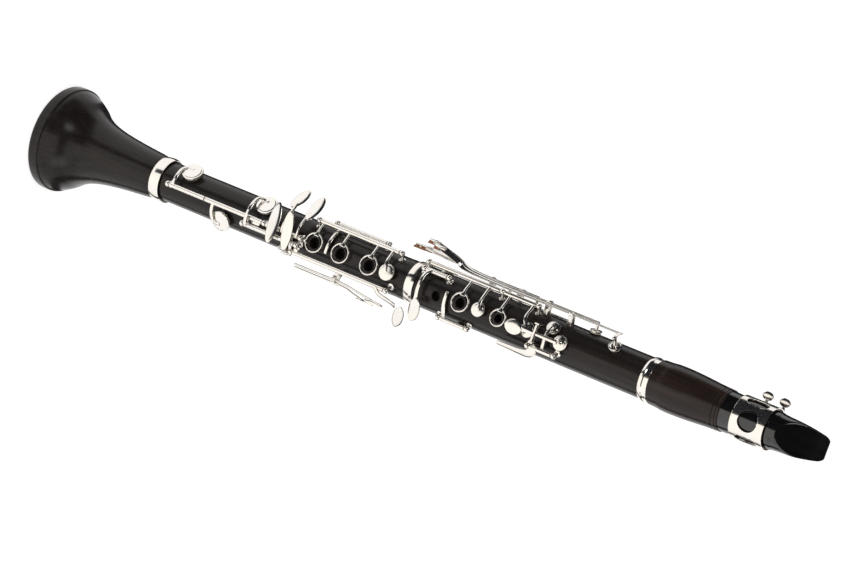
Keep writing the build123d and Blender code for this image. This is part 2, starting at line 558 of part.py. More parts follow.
def make_back_keys():
    """Thumb ring key, register key and its tube, thumb rest and its screws."""
    r, th = A_THUMB
    low = seat(R_UP)
    key = along(r, th, 416.0 + 1.5 + GAP, 448.0 - 1.5 - GAP, TUBE_R)
    r_ring = R_UP + CHIMNEY_UP - RING_KEY_T + 0.1
    key += swung(disc(r_ring, r_ring + RING_KEY_T, 180.0, 425.0, 6.5, 5.2), A_THUMB, OPEN_RING)
    key += band(18.6, 18.6 + ARM_T, -162, th, 423.5, 426.5)
    key += band(18.9, 18.9 + ARM_T, -170, th, 439.6, 442.4) + swung(cup(low, *PAD_THUMB), A_THUMB, OPEN_RING)
    save_key("thumb_ring_key", key, swung(pad(low, *PAD_THUMB), A_THUMB, OPEN_RING), A_THUMB, 416, 448)
    r_pin, th, z_pin, half = REG_PIN
    low = seat(R_UP) + 1.6
    key = bar([(r_pin + 0.6, 452.0), (r_pin + 0.6, PAD_REG[1])], th, 3.2) + cross_pin(r_pin, th, z_pin,
        half, 1.7)
    key += leaf(r_pin + 0.2, th, 455.0, 8.0, 13.0) + disc(low + PAD_T + 0.3, r_pin + 0.6, *PAD_REG[:2],
        1.8) + cup(low, *PAD_REG)
    save("register_key", key - cross_pin(r_pin, th, z_pin, half + 1, ROD_R + FIT))
    save("register_key_pad", pad(low, *PAD_REG))
    tube = disc(BORE - 1.5, R_UP + SEAT_UP + 1.55, *PAD_REG[:2], PAD_REG[2] * 0.55 - FIT, 1.5)
    save("register_tube", tube)
    plate_r = R_LOW + 0.15
    rest = disc(R_LOW - 1, R_LOW + 1.8, 180.0, 268.0, 8.0) - along(0, 0, 255, 285, plate_r)
    rest += Pos(0, R_LOW, 272.0) * Box(13.0, 14.0, 3.0,
        align=(Align.CENTER, Align.MIN, Align.CENTER)) - along(0, 0, 255, 285, plate_r)
    screws = [(180.0, 264.6), (180.0, 277.6)]
    rest += disc(plate_r, R_LOW + 1.8, 180.0, 277.0, 4.4) - along(0, 0, 255, 285, plate_r)
    for place_at in screws:
        rest -= disc(R_LOW - 2, R_LOW + 8, *place_at, 1.05)
    save("thumb_rest", rest)
    save("thumb_rest_screws", *[disc(R_LOW + 1.8, R_LOW + 2.8, *p, 1.9) + disc(R_LOW + 0.1, R_LOW + 2.0, *p,
        1.0) for p in screws])


def make_hardware():
    """Posts, ears, hinge rods and cross pins."""
    save("keywork_posts", *[post(*p, R_LOW) for p in LOWER_POSTS], *[post(*p, R_UP) for p in UPPER_POSTS])
    ears = [(*p, R_LOW) for p in LOWER_EARS] + [(*p, R_UP) for p in UPPER_EARS]
    save("pivot_saddles", *[e for r, th, z, half, wood in ears for e in ear_pair(r, th, z, wood, half)])
    lower_rods = [(A_FRONT, 221.0, 239.9), (A_SHARP, 185.9, 238.1), (A_LEVER, 232.1, 319.6),
        (A_RH, 242.3, 318.7), (A_RH_SLIVER, 253.0, 302.0)]
    upper_rods = [(A_LH, 337.9, 435.4), (A_CG, 337.9, 362.5), (A_LH_SLIVER, 359.5, 387.5),
        (A_GS, 438.0, 463.0), (A_THUMB, 414.5, 449.5)]
    save("hinge_rods", *[along(*axis, z0, z1, ROD_R) for axis, z0, z1 in lower_rods + upper_rods])
    save("pivot_screws", *[cross_pin(r, th, z, half + GAP + 1.0, ROD_R - 2 * FIT) for r, th, z, half,
        _ in ears])


make_bell()
make_joints()
make_barrel()
make_mouthpiece()
make_ligature()
make_hardware()
make_lower_keys()
make_levers()
make_slivers()
make_ring_key("right_ring_key", A_RH, R_LOW, 243.8 + 1.5 + GAP, 317.2 - 1.5 - GAP,
              [(th, z, 7.5, 6.3) for th, z, *_ in LOWER_RING_HOLES], PAD_RH, (309.2, 312.4), OPEN_RING)
make_ring_key("left_second_ring_key", A_LH, R_UP, 339.4 + 1.5 + GAP, 402.9 - 1.5 - GAP,
              [(-0.8, 377.5, 7.3, 6.0)], PAD_LH2, (391.4, 394.6), OPEN_RING)
make_ring_key("left_first_ring_key", A_LH, R_UP, 402.9 + 1.5 + GAP, 433.9 - 1.5 - GAP,
              [(-0.9, 410.0, 6.5, 5.2)], PAD_LH1, (429.0, 432.0), OPEN_RING)
make_c_sharp()
make_throat()
make_trills()
make_back_keys()
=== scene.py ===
"""Soprano clarinet: the finished look of every piece, built round the packed frame."""

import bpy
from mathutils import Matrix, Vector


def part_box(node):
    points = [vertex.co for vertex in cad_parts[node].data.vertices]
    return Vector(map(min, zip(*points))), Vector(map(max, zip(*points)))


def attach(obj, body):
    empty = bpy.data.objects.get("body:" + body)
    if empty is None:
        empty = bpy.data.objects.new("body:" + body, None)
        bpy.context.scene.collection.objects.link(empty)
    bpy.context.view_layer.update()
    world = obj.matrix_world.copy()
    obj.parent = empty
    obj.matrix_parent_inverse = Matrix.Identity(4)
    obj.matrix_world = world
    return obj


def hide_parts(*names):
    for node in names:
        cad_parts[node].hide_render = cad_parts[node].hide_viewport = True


bl_info = {
    "name": "Clarinet",
    "version": (1, 0, 0),
    "blender": (4, 5, 0),
    "location": "View3D > Sidebar > Clarinet",
    "description": "Builds a soprano clarinet's wood, keywork, mouthpiece and studio round its frame",
    "category": "Add Mesh",
}

from math import cos, pi, radians, sin

import bmesh
import bpy
import numpy as np
from bpy.props import FloatProperty, FloatVectorProperty, PointerProperty
from mathutils import Matrix, Vector

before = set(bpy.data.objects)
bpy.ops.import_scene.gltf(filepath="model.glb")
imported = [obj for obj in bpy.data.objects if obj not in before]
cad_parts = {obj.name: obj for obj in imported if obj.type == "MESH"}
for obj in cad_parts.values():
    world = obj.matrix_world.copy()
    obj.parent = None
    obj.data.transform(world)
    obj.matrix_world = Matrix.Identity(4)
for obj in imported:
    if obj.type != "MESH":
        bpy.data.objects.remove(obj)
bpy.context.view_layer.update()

# Lengths below are in millimetres and turned to metres as a piece is made. A place is (r, th, z):
# distance from the bore's axis, angle from the front towards the player's left, height above the rim.
MM = 0.001
Z_LOW = 1000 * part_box("lower_joint_ring")[1][2] - 230.9
Z_UP = 1000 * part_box("lower_joint_ring")[1][2]
Z_BARREL = 1000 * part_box("barrel")[0][2]
Z_MOUTH = 1000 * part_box("barrel")[1][2]
Z_TIP = 1000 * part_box("mouthpiece")[1][2]
R_LOW, R_UP, R_RING = 14.8, 15.2, 16.1
BORE, ROD_R, TUBE_R = 7.4, 0.85, 1.75
SOCKET_R, SOCKET_DEEP, RING_H, HOLE_DEEP = 12.4, 15.4, 7.2, 5.5
PAD_T, CUP_T, RING_KEY_T = 1.5, 1.1, 1.2
SEAT_UP, SEAT_GAP, CHIMNEY_UP = 0.35, 0.08, 1.6
OPEN_BIG, OPEN_SHARP, OPEN_RING = 8.0, 6.3, 4.1

A_FRONT, A_SHARP, A_LEVER = (19.8, 1.0), (20.3, 18.0), (21.5, 34.0)
A_RH, A_RH_SLIVER, A_LH, A_CG = (20.2, -54.0), (18.9, -76.0), (21.0, -60.0), (18.9, -44.0)
A_LH_SLIVER, A_GS, A_THUMB = (18.9, 56.0), (20.4, 27.0), (19.6, -135.0)
LOWER_POSTS = [
    (*A_FRONT, 116.0), (*A_FRONT, 205.5), (*A_FRONT, 238.4), (*A_SHARP, 187.4), (*A_SHARP, 236.6),
    (*A_LEVER, 233.6), (*A_LEVER, 318.1), (*A_RH, 243.8), (*A_RH, 317.2),
    (*A_RH_SLIVER, 254.5), (*A_RH_SLIVER, 300.5),
]
UPPER_POSTS = [
    (*A_LH, 339.4), (*A_LH, 402.9), (*A_LH, 433.9), (*A_CG, 339.4), (*A_CG, 361.0),
    (*A_LH_SLIVER, 361.0), (*A_LH_SLIVER, 386.0), (*A_GS, 439.5), (*A_GS, 461.5),
    (*A_THUMB, 416.0), (*A_THUMB, 448.0),
]
LOWER_HOLES = [(0.4, 248.6, 4.0, 5.3), (0.4, 271.9, 4.0, 5.3), (0.4, 297.4, 4.0, 5.3)]
UPPER_HOLES = [(-0.8, 377.5, 3.6, 4.9), (-0.9, 410.0, 3.0, 4.2), (180.0, 425.0, 3.4, 4.3)]
PLAIN_HOLE = (7.5, 356.3, 3.6)
TRILL = [(-104.5, 385.0, 319.3, 26.0, 400.0), (-93.0, 411.0, 327.5, 26.0, 425.0),
         (-81.5, 437.0, 335.5, 33.0, 478.0), (-70.0, 459.0, 344.5, 33.0, 500.0)]
R_TRILL = 22.7
PADS = {
    "eb": (-50.0, 128.3, 8.0), "fc": (41.0, 166.0, 8.2), "fs": (-43.0, 199.0, 8.0), "ae": (62.0, 221.0, 5.6),
    "rh": (-1.0, 313.8, 6.2), "rs": (-100.0, 285.0, 4.6), "cg": (-86.0, 352.0, 4.8),
        "lh2": (-1.2, 393.5, 5.3),
    "lh1": (-1.2, 435.8, 5.5), "ls": (80.0, 378.0, 4.6), "a": (-3.0, 462.4, 5.5), "gs": (-31.5, 452.3, 5.2),
    "th": (-168.0, 441.0, 4.4), "reg": (180.0, 503.0, 3.8), "t1": (-104.5, 400.0, 4.2),
        "t2": (-93.0, 425.0, 4.2),
    "t3": (-81.5, 478.0, 4.4), "t4": (-49.0, 500.0, 5.0),
}
LOWER_SEATS = ("eb", "fc", "fs", "ae", "rh", "rs")


# Surfaces -------------------------------------------------------------------------------------------

def polar(r, th, z):
    """x = r sin(th), y = -r cos(th), z: a place on the tube as a row of three numbers."""
    r, th, z = np.broadcast_arrays(np.asarray(r, float), np.radians(th), np.asarray(z, float))
    return np.stack([r * np.sin(th), -r * np.cos(th), z], -1)


def radial_frame(r, th, z):
    """Origin and three directions at a place: up the bore, round the tube, and straight out of it."""
    out = polar(1, th, 0)
    up = np.array([0.0, 0.0, 1.0])
    return polar(r, th, z), up, np.cross(out, up), out


def strip_faces(rows, cols, wrap=True):
    """Quads of a rows x cols grid of points; wrap joins the last column to the first."""
    i, j = np.meshgrid(np.arange(rows - 1), np.arange(cols if wrap else cols - 1), indexing="ij")
    k = (j + 1) % cols
    return np.stack([i * cols + j, i * cols + k, (i + 1) * cols + k, (i + 1) * cols + j], -1).reshape(-1, 4)


def lathe(profile, place, n=40):
    """Each (radius, height) of the profile is carried round the line through place[0] along place[3]."""
    profile = np.asarray(profile, float)
    origin, e1, e2, axis = place
    turn = np.linspace(0, 2 * pi, n, endpoint=False)
    ring = np.cos(turn)[:, None] * e1 + np.sin(turn)[:, None] * e2
    points = origin + profile[:, 0, None, None] * ring[None] + profile[:, 1, None, None] * axis
    return points.reshape(-1, 3), strip_faces(len(profile), n)


def smooth_path(knots, steps=10):
    """Catmull-Rom curve through the knots: cubic pieces with each knot's slope from its neighbours."""
    p = np.asarray(knots, float)
    if len(p) == 2:
        return p[0] + np.linspace(0, 1, steps + 1)[:, None] * (p[1] - p[0])
    q = np.vstack([2 * p[0] - p[1], p, 2 * p[-1] - p[-2]])
    t = np.linspace(0, 1, steps, endpoint=False)[None, :, None]
    a, b, c, d = (q[i:len(q) - 3 + i, None, :] for i in range(4))
    body = 0.5 * (2 * b + (c - a) * t + (2 * a - 5 * b + 4 * c - d) * t**2 + (3 * b - a - 3 * c + d) * t**3)
    return np.vstack([body.reshape(-1, p.shape[1]), p[-1]])


def sweep(line, up, half_w, half_t, n=16, power=2.6):
    """A rounded oblong, |x/w|^p + |y/t|^p = 1, carried along the line with its thickness along up."""
    line, up = np.asarray(line, float), np.asarray(up, float)
    ahead = np.gradient(line, axis=0)
    ahead /= np.linalg.norm(ahead, axis=1)[:, None]
    side = np.cross(ahead, up)
    side /= np.linalg.norm(side, axis=1)[:, None]
    up = np.cross(side, ahead)
    half_w = np.broadcast_to(half_w, len(line)).astype(float)
    half_t = np.broadcast_to(half_t, len(line)).astype(float)
    end = np.minimum(half_t, half_w)[[0, -1]]
    cap = np.array([0.0, 0.35, 0.75])
    shrink = np.sqrt(1 - (1 - cap) ** 2)
    first = line[0] - ahead[0] * (end[0] * 0.8 * (1 - cap))[:, None]
    last = line[-1] + ahead[-1] * (end[1] * 0.8 * (1 - cap[::-1]))[:, None]
    points = np.vstack([first, line, last])
    width = np.concatenate([half_w[0] * (0.25 + 0.75 * shrink) * (cap > 0), half_w,
        half_w[-1] * (0.25 + 0.75 * shrink[::-1]) * (cap[::-1] > 0)])
    thick = np.concatenate([half_t[0] * shrink, half_t, half_t[-1] * shrink[::-1]])
    pad = [(3, 3), (0, 0)]
    side, up = np.pad(side, pad, "edge"), np.pad(up, pad, "edge")
    turn = np.linspace(0, 2 * pi, n, endpoint=False)
    x = np.sign(np.cos(turn)) * np.abs(np.cos(turn)) ** (2 / power)
    y = np.sign(np.sin(turn)) * np.abs(np.sin(turn)) ** (2 / power)
    ring = points[:, None] + (width[:, None] * x)[..., None] * side[:, None] + (thick[:, None] * y)[...,
        None] * up[:, None]
    return ring.reshape(-1, 3), strip_faces(len(points), n)


def turned(shape, axis, angle):
    """A shape turned by angle degrees about a hinge line parallel to the bore."""
    points, faces = shape
    centre = polar(*axis, 0)
    c, s = cos(radians(angle)), sin(radians(angle))
    flat = points - centre
    return centre + np.stack([flat[:, 0] * c - flat[:, 1] * s, flat[:, 0] * s + flat[:, 1] * c, flat[:, 2]],
        -1), faces


def tube(axis, z0, z1, radius=TUBE_R):
    """Hinge tube parallel to the bore with softened ends."""
    soft = 0.25
    profile = [(ROD_R, z0), (radius - soft, z0), (radius, z0 + soft), (radius, z1 - soft),
        (radius - soft, z1), (ROD_R, z1), (ROD_R, z0)]
    return lathe(profile, (polar(*axis, 0), np.array([1.0, 0, 0]), np.array([0, 1.0, 0]),
        np.array([0, 0, 1.0])), 24)


def spread_along(value, count):
    """A number as it is, or a few stations spread evenly and filled in between to count values."""
    if np.isscalar(value):
        return value
    return np.interp(np.linspace(0, 1, count), np.linspace(0, 1, len(value)), value)


def arm(knots, half_w=1.5, half_t=0.7, steps=10, power=2.6, face=0.0):
    """Bar whose centre line runs smoothly through (r, th, z) knots, lying flat on the tube.

    face turns the bar's flat, in degrees towards the player's left, at stations spread along it."""
    path = smooth_path(knots, steps)
    width, twist = (spread_along(value, len(path)) for value in (half_w, face))
    return sweep(polar(*path.T), polar(1, path[:, 1] + twist, 0), width, half_t, power=power)


def cup(r_seat, th, z, radius):
    """Pad cup: a rolled rim, a shallow step and a low dome with a small boss in the middle."""
    top = PAD_T + CUP_T
    dome = np.linspace(0, pi / 2, 9)
    inner = radius - 1.3
    crown = [(inner * cos(a), top - 0.42 + 0.42 * sin(a)) for a in dome]
    profile = [(radius - 0.6, PAD_T * 0.55), (radius - 0.12, PAD_T * 0.5), (radius, PAD_T * 0.62),
        (radius, top - 0.85),
               (radius - 0.15, top - 0.6), (radius - 0.55, top - 0.5), (radius - 0.95, top - 0.56), *crown]
    profile[-1] = (0, top)
    profile = [(0, PAD_T * 0.7), (radius - 0.6, PAD_T * 0.7), *profile]
    return lathe(profile, radial_frame(r_seat, th, z), 56)


def ring(r_low, th, z, outer, inner):
    """Finger ring: a rounded oblong section turned round the tone hole."""
    turn = np.linspace(0, 2 * pi, 17)
    mid, half = (outer + inner) / 2, (outer - inner) / 2
    profile = [(mid + half * np.sign(cos(a)) * abs(cos(a)) ** 0.8,
        RING_KEY_T / 2 * (1 + np.sign(sin(a)) * abs(sin(a)) ** 0.8)) for a in turn]
    return lathe(profile, radial_frame(r_low, th, z), 72)


def leaf(r, th, z, length, width, tilt=0.0, swing=0.0, thick=1.9, hollow=0.3, blunt=2.1):
    """Finger plate: half width w (1 - |u|^b)^(1/2) along its length, its face dished by hollow u^2."""
    origin, up, across, out = radial_frame(r, th, z)
    c, s = cos(radians(tilt)), sin(radians(tilt))
    y, n = across * c + out * s, out * c - across * s
    a = radians(90 + swing)
    lengthways, width_way = up * cos(a) + y * sin(a), -up * sin(a) + y * cos(a)
    if width > length:
        length, width, lengthways = width, length, width_way
    u = np.sin(np.linspace(-pi / 2, pi / 2, 33)) * 0.995
    half_w = width / 2 * np.sqrt(np.clip(1 - np.abs(u) ** blunt, 0, 1))
    half_t = thick / 2 * (0.45 + 0.55 * np.sqrt(np.clip(1 - np.abs(u) ** 6, 0, 1)))
    line = origin + n * (thick / 2 + hollow * (u**2)[:,
        None] - hollow * 0.5) + lengthways * (u * (length / 2 - 0.2))[:, None]
    return sweep(line, np.broadcast_to(n, line.shape), half_w, half_t * 0.92, n=24, power=2.05)


def cross_tube(r, th, z, half, radius=1.7):
    """Short hinge barrel square to the bore."""
    origin, up, across, out = radial_frame(r, th, z)
    soft = 0.2
    profile = [(ROD_R, -half), (radius - soft, -half), (radius, -half + soft), (radius, half - soft),
        (radius - soft, half), (ROD_R, half), (ROD_R, -half)]
    return lathe(profile, (origin, up, out, -across), 20)


def stalk(r0, r1, th, z, radius):
    """Round pillar on a radial line between two distances."""
    profile = [(0, r0), (radius, r0), (radius * 0.8, (r0 + r1) / 2), (radius, r1), (0, r1)]
    return lathe(profile, radial_frame(0, th, z), 16)


# Putting meshes in the scene --------------------------------------------------------------------------

def add_piece(name, shapes, body="body", replaces=(), material=None, sharp=38.0):
    """Joins the shapes into one mesh, merges seams and poles, and hangs it on its body."""
    points, faces, start = [], [], 0
    for p, f in shapes:
        points.append(p * MM)
        faces.append(f + start)
        start += len(p)
    points, faces = np.vstack(points), np.vstack(faces)
    mesh = bpy.data.meshes.new(name)
    mesh.from_pydata(points.tolist(), [], faces.tolist())
    work = bmesh.new()
    work.from_mesh(mesh)
    bmesh.ops.remove_doubles(work, verts=work.verts, dist=2e-6)
    bmesh.ops.dissolve_degenerate(work, edges=work.edges, dist=1e-7)
    bmesh.ops.recalc_face_normals(work, faces=work.faces)
    work.to_mesh(mesh)
    work.free()
    mesh.polygons.foreach_set("use_smooth", np.ones(len(mesh.polygons), bool))
    mesh.set_sharp_from_angle(angle=radians(sharp))
    piece = bpy.data.objects.new(name, mesh)
    bpy.context.scene.collection.objects.link(piece)
    if material:
        mesh.materials.append(material)
    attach(piece, body)
    if replaces:
        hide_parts(*replaces)
    return piece


def dress(node, material):
    """Gives a frame node a finish."""
    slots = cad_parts[node].data.materials
    slots.clear()
    slots.append(material)


# Materials --------------------------------------------------------------------------------------------

class Value:
    """A socket that can be added up and scaled by a number."""

    def __init__(self, tree, socket):
        self.tree, self.socket = tree, socket

    def join(self, operation, a, b):
        node = self.tree.nodes.new("ShaderNodeMath")
        node.operation = operation
        for slot, value in zip(node.inputs, (a, b)):
            if isinstance(value, Value):
                self.tree.links.new(value.socket, slot)
            else:
                slot.default_value = value
        return Value(self.tree, node.outputs[0])

    def __add__(self, other):
        return self.join("ADD", self, other)

    def __radd__(self, other):
        return self.join("ADD", other, self)

    def __mul__(self, other):
        return self.join("MULTIPLY", self, other)

    def __rmul__(self, other):
        return self.join("MULTIPLY", other, self)


class Finish:
    """One material being put together round a Principled shader."""

    def __init__(self, name, **constants):
        self.material = bpy.data.materials.new(name)
        self.material.use_nodes = True
        self.tree = self.material.node_tree
        self.shader = self.tree.nodes["Principled BSDF"]
        for key, value in constants.items():
            self.shader.inputs[key.replace("_", " ")].default_value = value
        self.place = self.node("ShaderNodeTexCoord", out="Object")

    def node(self, kind, settings=(), out=0, ramp=None, **inputs):
        """Adds a node, sets its settings and ramp stops, then its input values or links."""
        node = self.tree.nodes.new(kind)
        for key, value in dict(settings).items():
            setattr(node, key, value)
        if ramp:
            stops = node.color_ramp.elements
            while len(stops) < len(ramp):
                stops.new(0.5)
            for stop, (at, colour) in zip(stops, ramp):
                stop.position = at
                stop.color = (*colour, 1) if len(colour) == 3 else colour
        for key, value in inputs.items():
            slot = node.inputs[key.replace("_", " ")]
            if isinstance(value, Value):
                self.tree.links.new(value.socket, slot)
            else:
                slot.default_value = value
        return Value(self.tree, node.outputs[out])

    def noise(self, scale, detail=3.0, stretch=(1, 1, 1), rough=0.5):
        at = self.node("ShaderNodeMapping", Vector=self.place, Scale=stretch)
        return self.node("ShaderNodeTexNoise", out="Fac", Vector=at, Scale=scale, Detail=detail,
            Roughness=rough)

    def feed(self, key, value):
        self.tree.links.new(value.socket, self.shader.inputs[key])

    def bump(self, height, distance, strength=1.0):
        self.feed("Normal", self.node("ShaderNodeBump", out="Normal", Height=height, Distance=distance,
            Strength=strength))


def wood(name, dark, warm, rough=0.26):
    """Oiled blackwood: long pores and streaks drawn out along the bore."""
    f = Finish(name, Specular_IOR_Level=0.22, Coat_Roughness=0.18)
    streak = f.noise(34.0, 5.0, (9, 9, 0.5), 0.6)
    pore = f.noise(300.0, 2.0, (5, 5, 0.22), 0.5)
    colour = f.node("ShaderNodeValToRGB", out="Color", Fac=streak,
        ramp=[(0.25, dark), (0.52, tuple(0.6 * d + 0.4 * w for d, w in zip(dark, warm))), (0.8, warm)])
    f.feed("Base Color", colour)
    f.feed("Roughness", rough - 0.08 + 0.16 * pore)
    f.feed("Coat Weight", 0.03 + 0.10 * streak)
    f.bump(pore, 0.00006, 0.35)
    return f.material


def silver(name, colour, rough=0.13):
    """Silver plate: nearly a mirror, with faint handling haze and slight warmth where it is touched."""
    f = Finish(name, Metallic=1.0)
    haze = f.noise(60.0, 4.0)
    fine = f.noise(900.0, 2.0)
    warm = tuple(c * k for c, k in zip(colour, (1.0, 0.975, 0.93)))
    f.feed("Base Color", f.node("ShaderNodeValToRGB", out="Color", Fac=haze,
        ramp=[(0.3, colour), (0.75, warm)]))
    f.feed("Roughness", rough - 0.04 + 0.09 * haze + 0.02 * fine)
    f.bump(fine, 0.000012, 0.25)
    return f.material


def ebonite():
    """Moulded black rubber, glossy with a few fine marks."""
    f = Finish("ebonite", IOR=1.68)
    marks = f.noise(140.0, 4.0, (1, 1, 0.4))
    f.feed("Base Color", f.node("ShaderNodeValToRGB", out="Color", Fac=marks,
        ramp=[(0.3, (0.003, 0.003, 0.0035)), (0.8, (0.007, 0.0065, 0.007))]))
    f.feed("Roughness", 0.08 + 0.10 * marks)
    f.bump(marks, 0.00002, 0.2)
    return f.material


def grained(name, dark, light, scale, stretch, rough=0.7, depth=0.00008):
    """Matt natural stuff such as cane, cork and pad skin."""
    f = Finish(name)
    grain = f.noise(scale, 5.0, stretch, 0.6)
    f.feed("Base Color", f.node("ShaderNodeValToRGB", out="Color", Fac=grain,
        ramp=[(0.3, dark), (0.7, light)]))
    f.feed("Roughness", rough - 0.1 + 0.2 * grain)
    f.bump(grain, depth, 0.5)
    return f.material


FINISHES = {}


def make_finishes(look):
    FINISHES["body_wood"] = wood("blackwood", (0.0065, 0.0058, 0.0058), tuple(look.wood))
    FINISHES["barrel_wood"] = wood("blackwood_warm", (0.009, 0.0066, 0.006),
        tuple(c * k for c, k in zip(look.wood, (1.3, 1.05, 0.95))), 0.23)
    FINISHES["silver"] = silver("silver_plate", tuple(look.silver), look.polish)
    FINISHES["steel"] = silver("polished_steel", (0.62, 0.62, 0.63), 0.2)
    FINISHES["ebonite"] = ebonite()
    FINISHES["cane"] = grained("reed_cane", (0.55, 0.40, 0.18), (0.80, 0.66, 0.38), 60.0, (30, 4, 0.6))
    FINISHES["cork"] = grained("cork", (0.20, 0.075, 0.028), (0.42, 0.18, 0.075), 900.0, (1, 1, 1), 0.8)
    FINISHES["skin"] = grained("pad_skin", (0.62, 0.50, 0.36), (0.82, 0.74, 0.60), 400.0, (1, 1, 1), 0.6)


# Wooden pieces ----------------------------------------------------------------------------------------

UPRIGHT = (np.zeros(3), np.array([1.0, 0, 0]), np.array([0, 1.0, 0]), np.array([0, 0, 1.0]))
BELL_KNOTS = [(40.0, 0), (40.33, 4.5), (40.12, 8.4), (39.25, 9.0), (37.7, 13), (34.0, 20), (28.6, 28),
    (24.2, 38), (21.0, 52), (18.7, 70), (16.9, 90)]


def rounded(points, soft=0.6):
    """The outline with each corner cut by a short two-step bevel, soft millimetres long."""
    p = np.asarray(points, float)
    out = [p[0]]
    for a, b, c in zip(p[:-2], p[1:-1], p[2:]):
        back, on = a - b, c - b
        near = min(soft, 0.45 * np.linalg.norm(back), 0.45 * np.linalg.norm(on))
        q0, q1 = b + back / np.linalg.norm(back) * near, b + on / np.linalg.norm(on) * near
        out += [q0, 0.25 * q0 + 0.5 * b + 0.25 * q1, q1]
    return np.array(out + [p[-1]])


def build_bell():
    z_ring = Z_LOW - 8.8
    outer = smooth_path(BELL_KNOTS + [(15.9, z_ring - 0.3)], 8)
    lip = [(38.6, 0.0), (39.3, 0.15), (39.8, 0.7)]
    inner = smooth_path([(37.4, 0.0), (36.0, 9.0), (31.0, 17.0), (25.5, 26.0), (20.0, 38.0), (16.5, 52.0),
        (13.8, 70.0), (11.2, Z_LOW - SOCKET_DEEP)], 8)
    profile = np.vstack([inner[::-1], lip, outer[2:],
        [(15.7, z_ring), (15.7, Z_LOW - 0.2), (SOCKET_R, Z_LOW - 0.2), (SOCKET_R, Z_LOW - SOCKET_DEEP),
        (11.2, Z_LOW - SOCKET_DEEP)]])
    add_piece("bell_flare", [lathe(profile, UPRIGHT, 160)], replaces=["bell"],
        material=FINISHES["body_wood"])
    z0, z1 = z_ring, Z_LOW
    arc = np.linspace(-1, 1, 9)
    face = [(16.8 + 0.18 - 0.5 * a * a, (z0 + z1) / 2 + a * (z1 - z0) / 2 * 0.97) for a in arc]
    profile = [(15.75, z0 + 0.1), (16.3, z0 + 0.02), *face, (16.3, z1 - 0.02), (15.75, z1 - 0.1),
        (15.75, z0 + 0.1)]
    add_piece("bell_ferrule", [lathe(profile, UPRIGHT, 128)], replaces=["bell_ring"],
        material=FINISHES["silver"])


def tube_skin(profile, holes, n=256, step=0.9):
    """Turned wooden skin with the patch under each raised tone hole left out: (th, z, radius)."""
    dense = [profile[0]]
    for a, b in zip(profile[:-1], profile[1:]):
        count = max(1, int(abs(b[1] - a[1]) / step))
        dense += [tuple(np.array(a) + (np.array(b) - np.array(a)) * k / count) for k in range(1, count + 1)]
    points, faces = lathe(dense, UPRIGHT, n)
    centre = points[faces].mean(1)
    keep = np.ones(len(faces), bool)
    for th, z, radius in holes:
        origin, up, across, out = radial_frame(0, th, z)
        rel = centre - origin
        away = np.hypot(rel @ up, rel @ across)
        keep &= ~((away < radius) & (rel @ out > BORE + 2))
    return points, faces[keep]


def hole_collar(body_r, th, z, hole, outer, rise):
    """Raised or flush collar round a tone hole, with the hole's wall and floor."""
    skirt = body_r - 1.4
    top = body_r + rise
    soft = 0.35
    profile = [(outer + 0.5 * min(rise, 1), skirt), (outer + 0.25 * min(rise, 1), body_r - 0.1),
        (outer, min(body_r + 0.4, top - soft)), (outer, top - soft), (outer - soft, top),
               (hole + 0.5, top), (hole + 0.12, top - 0.12), (hole, top - 0.5), (hole, body_r - HOLE_DEEP),
                   (0, body_r - HOLE_DEEP)]
    return lathe(profile, radial_frame(0, th, z), 56)


def pad_seats(keys):
    """Tone hole and seat under each pad: (th, z, hole's radius, seat's radius)."""
    return [(th, z, radius * 0.55, radius - 1.4) for th, z, radius in (PADS[key] for key in keys)]


def build_joints():
    floor = 0.02
    lower = [(11.0, Z_LOW - 12), (R_LOW - 0.4, Z_LOW + floor), (R_LOW, Z_LOW + 0.5), (R_LOW, Z_UP - 17.2),
        (R_LOW + 0.15, Z_UP - 14),
             (R_RING - 1.25, Z_UP - 8.2), (R_RING - 1.15, Z_UP - 7.3), (SOCKET_R, Z_UP - RING_H)]
    seats = pad_seats(LOWER_SEATS)
    cut = [(th, z, outer - 0.5) for th, z, hole, outer in LOWER_HOLES + seats]
    shapes = [tube_skin(lower, cut)]
    shapes += [hole_collar(R_LOW, th, z, hole, outer, CHIMNEY_UP) for th, z, hole, outer in LOWER_HOLES]
    shapes += [hole_collar(R_LOW, th, z, hole, outer, SEAT_UP) for th, z, hole, outer in seats]
    add_piece("lower_joint_wood", shapes, replaces=["lower_joint_body"],
        material=FINISHES["body_wood"])
    upper = [(11.0, Z_UP - 12), (R_UP - 0.4, Z_UP + floor), (R_UP, Z_UP + 0.5), (R_UP, Z_BARREL - 0.5),
        (R_UP - 0.4, Z_BARREL - floor), (11.0, Z_BARREL + 12)]
    seats = pad_seats(key for key in PADS if key not in LOWER_SEATS)
    plain = [(PLAIN_HOLE[0], PLAIN_HOLE[1], PLAIN_HOLE[2], 4.5)]
    cut = [(th, z, outer - 0.5) for th, z, hole, outer in UPPER_HOLES + seats + plain]
    shapes = [tube_skin(upper, cut)]
    shapes += [hole_collar(R_UP, th, z, hole, outer, CHIMNEY_UP) for th, z, hole, outer in UPPER_HOLES]
    shapes += [hole_collar(R_UP, th, z, hole, outer, SEAT_UP) for th, z, hole, outer in seats]
    shapes += [hole_collar(R_UP, th, z, hole, outer, 0.12) for th, z, hole, outer in plain]
    add_piece("upper_joint_wood", shapes, replaces=["upper_joint_body"],
        material=FINISHES["body_wood"])
    z0, z1 = Z_UP - RING_H, Z_UP
    profile = rounded([(15.1, z0), (R_RING - 0.1, z0), (R_RING, (z0 + z1) / 2), (R_RING - 0.1, z1),
        (15.1, z1), (15.1, z0)], 0.5)
    add_piece("socket_ferrule", [lathe(profile, UPRIGHT, 128)],
        replaces=["lower_joint_ring"], material=FINISHES["silver"])


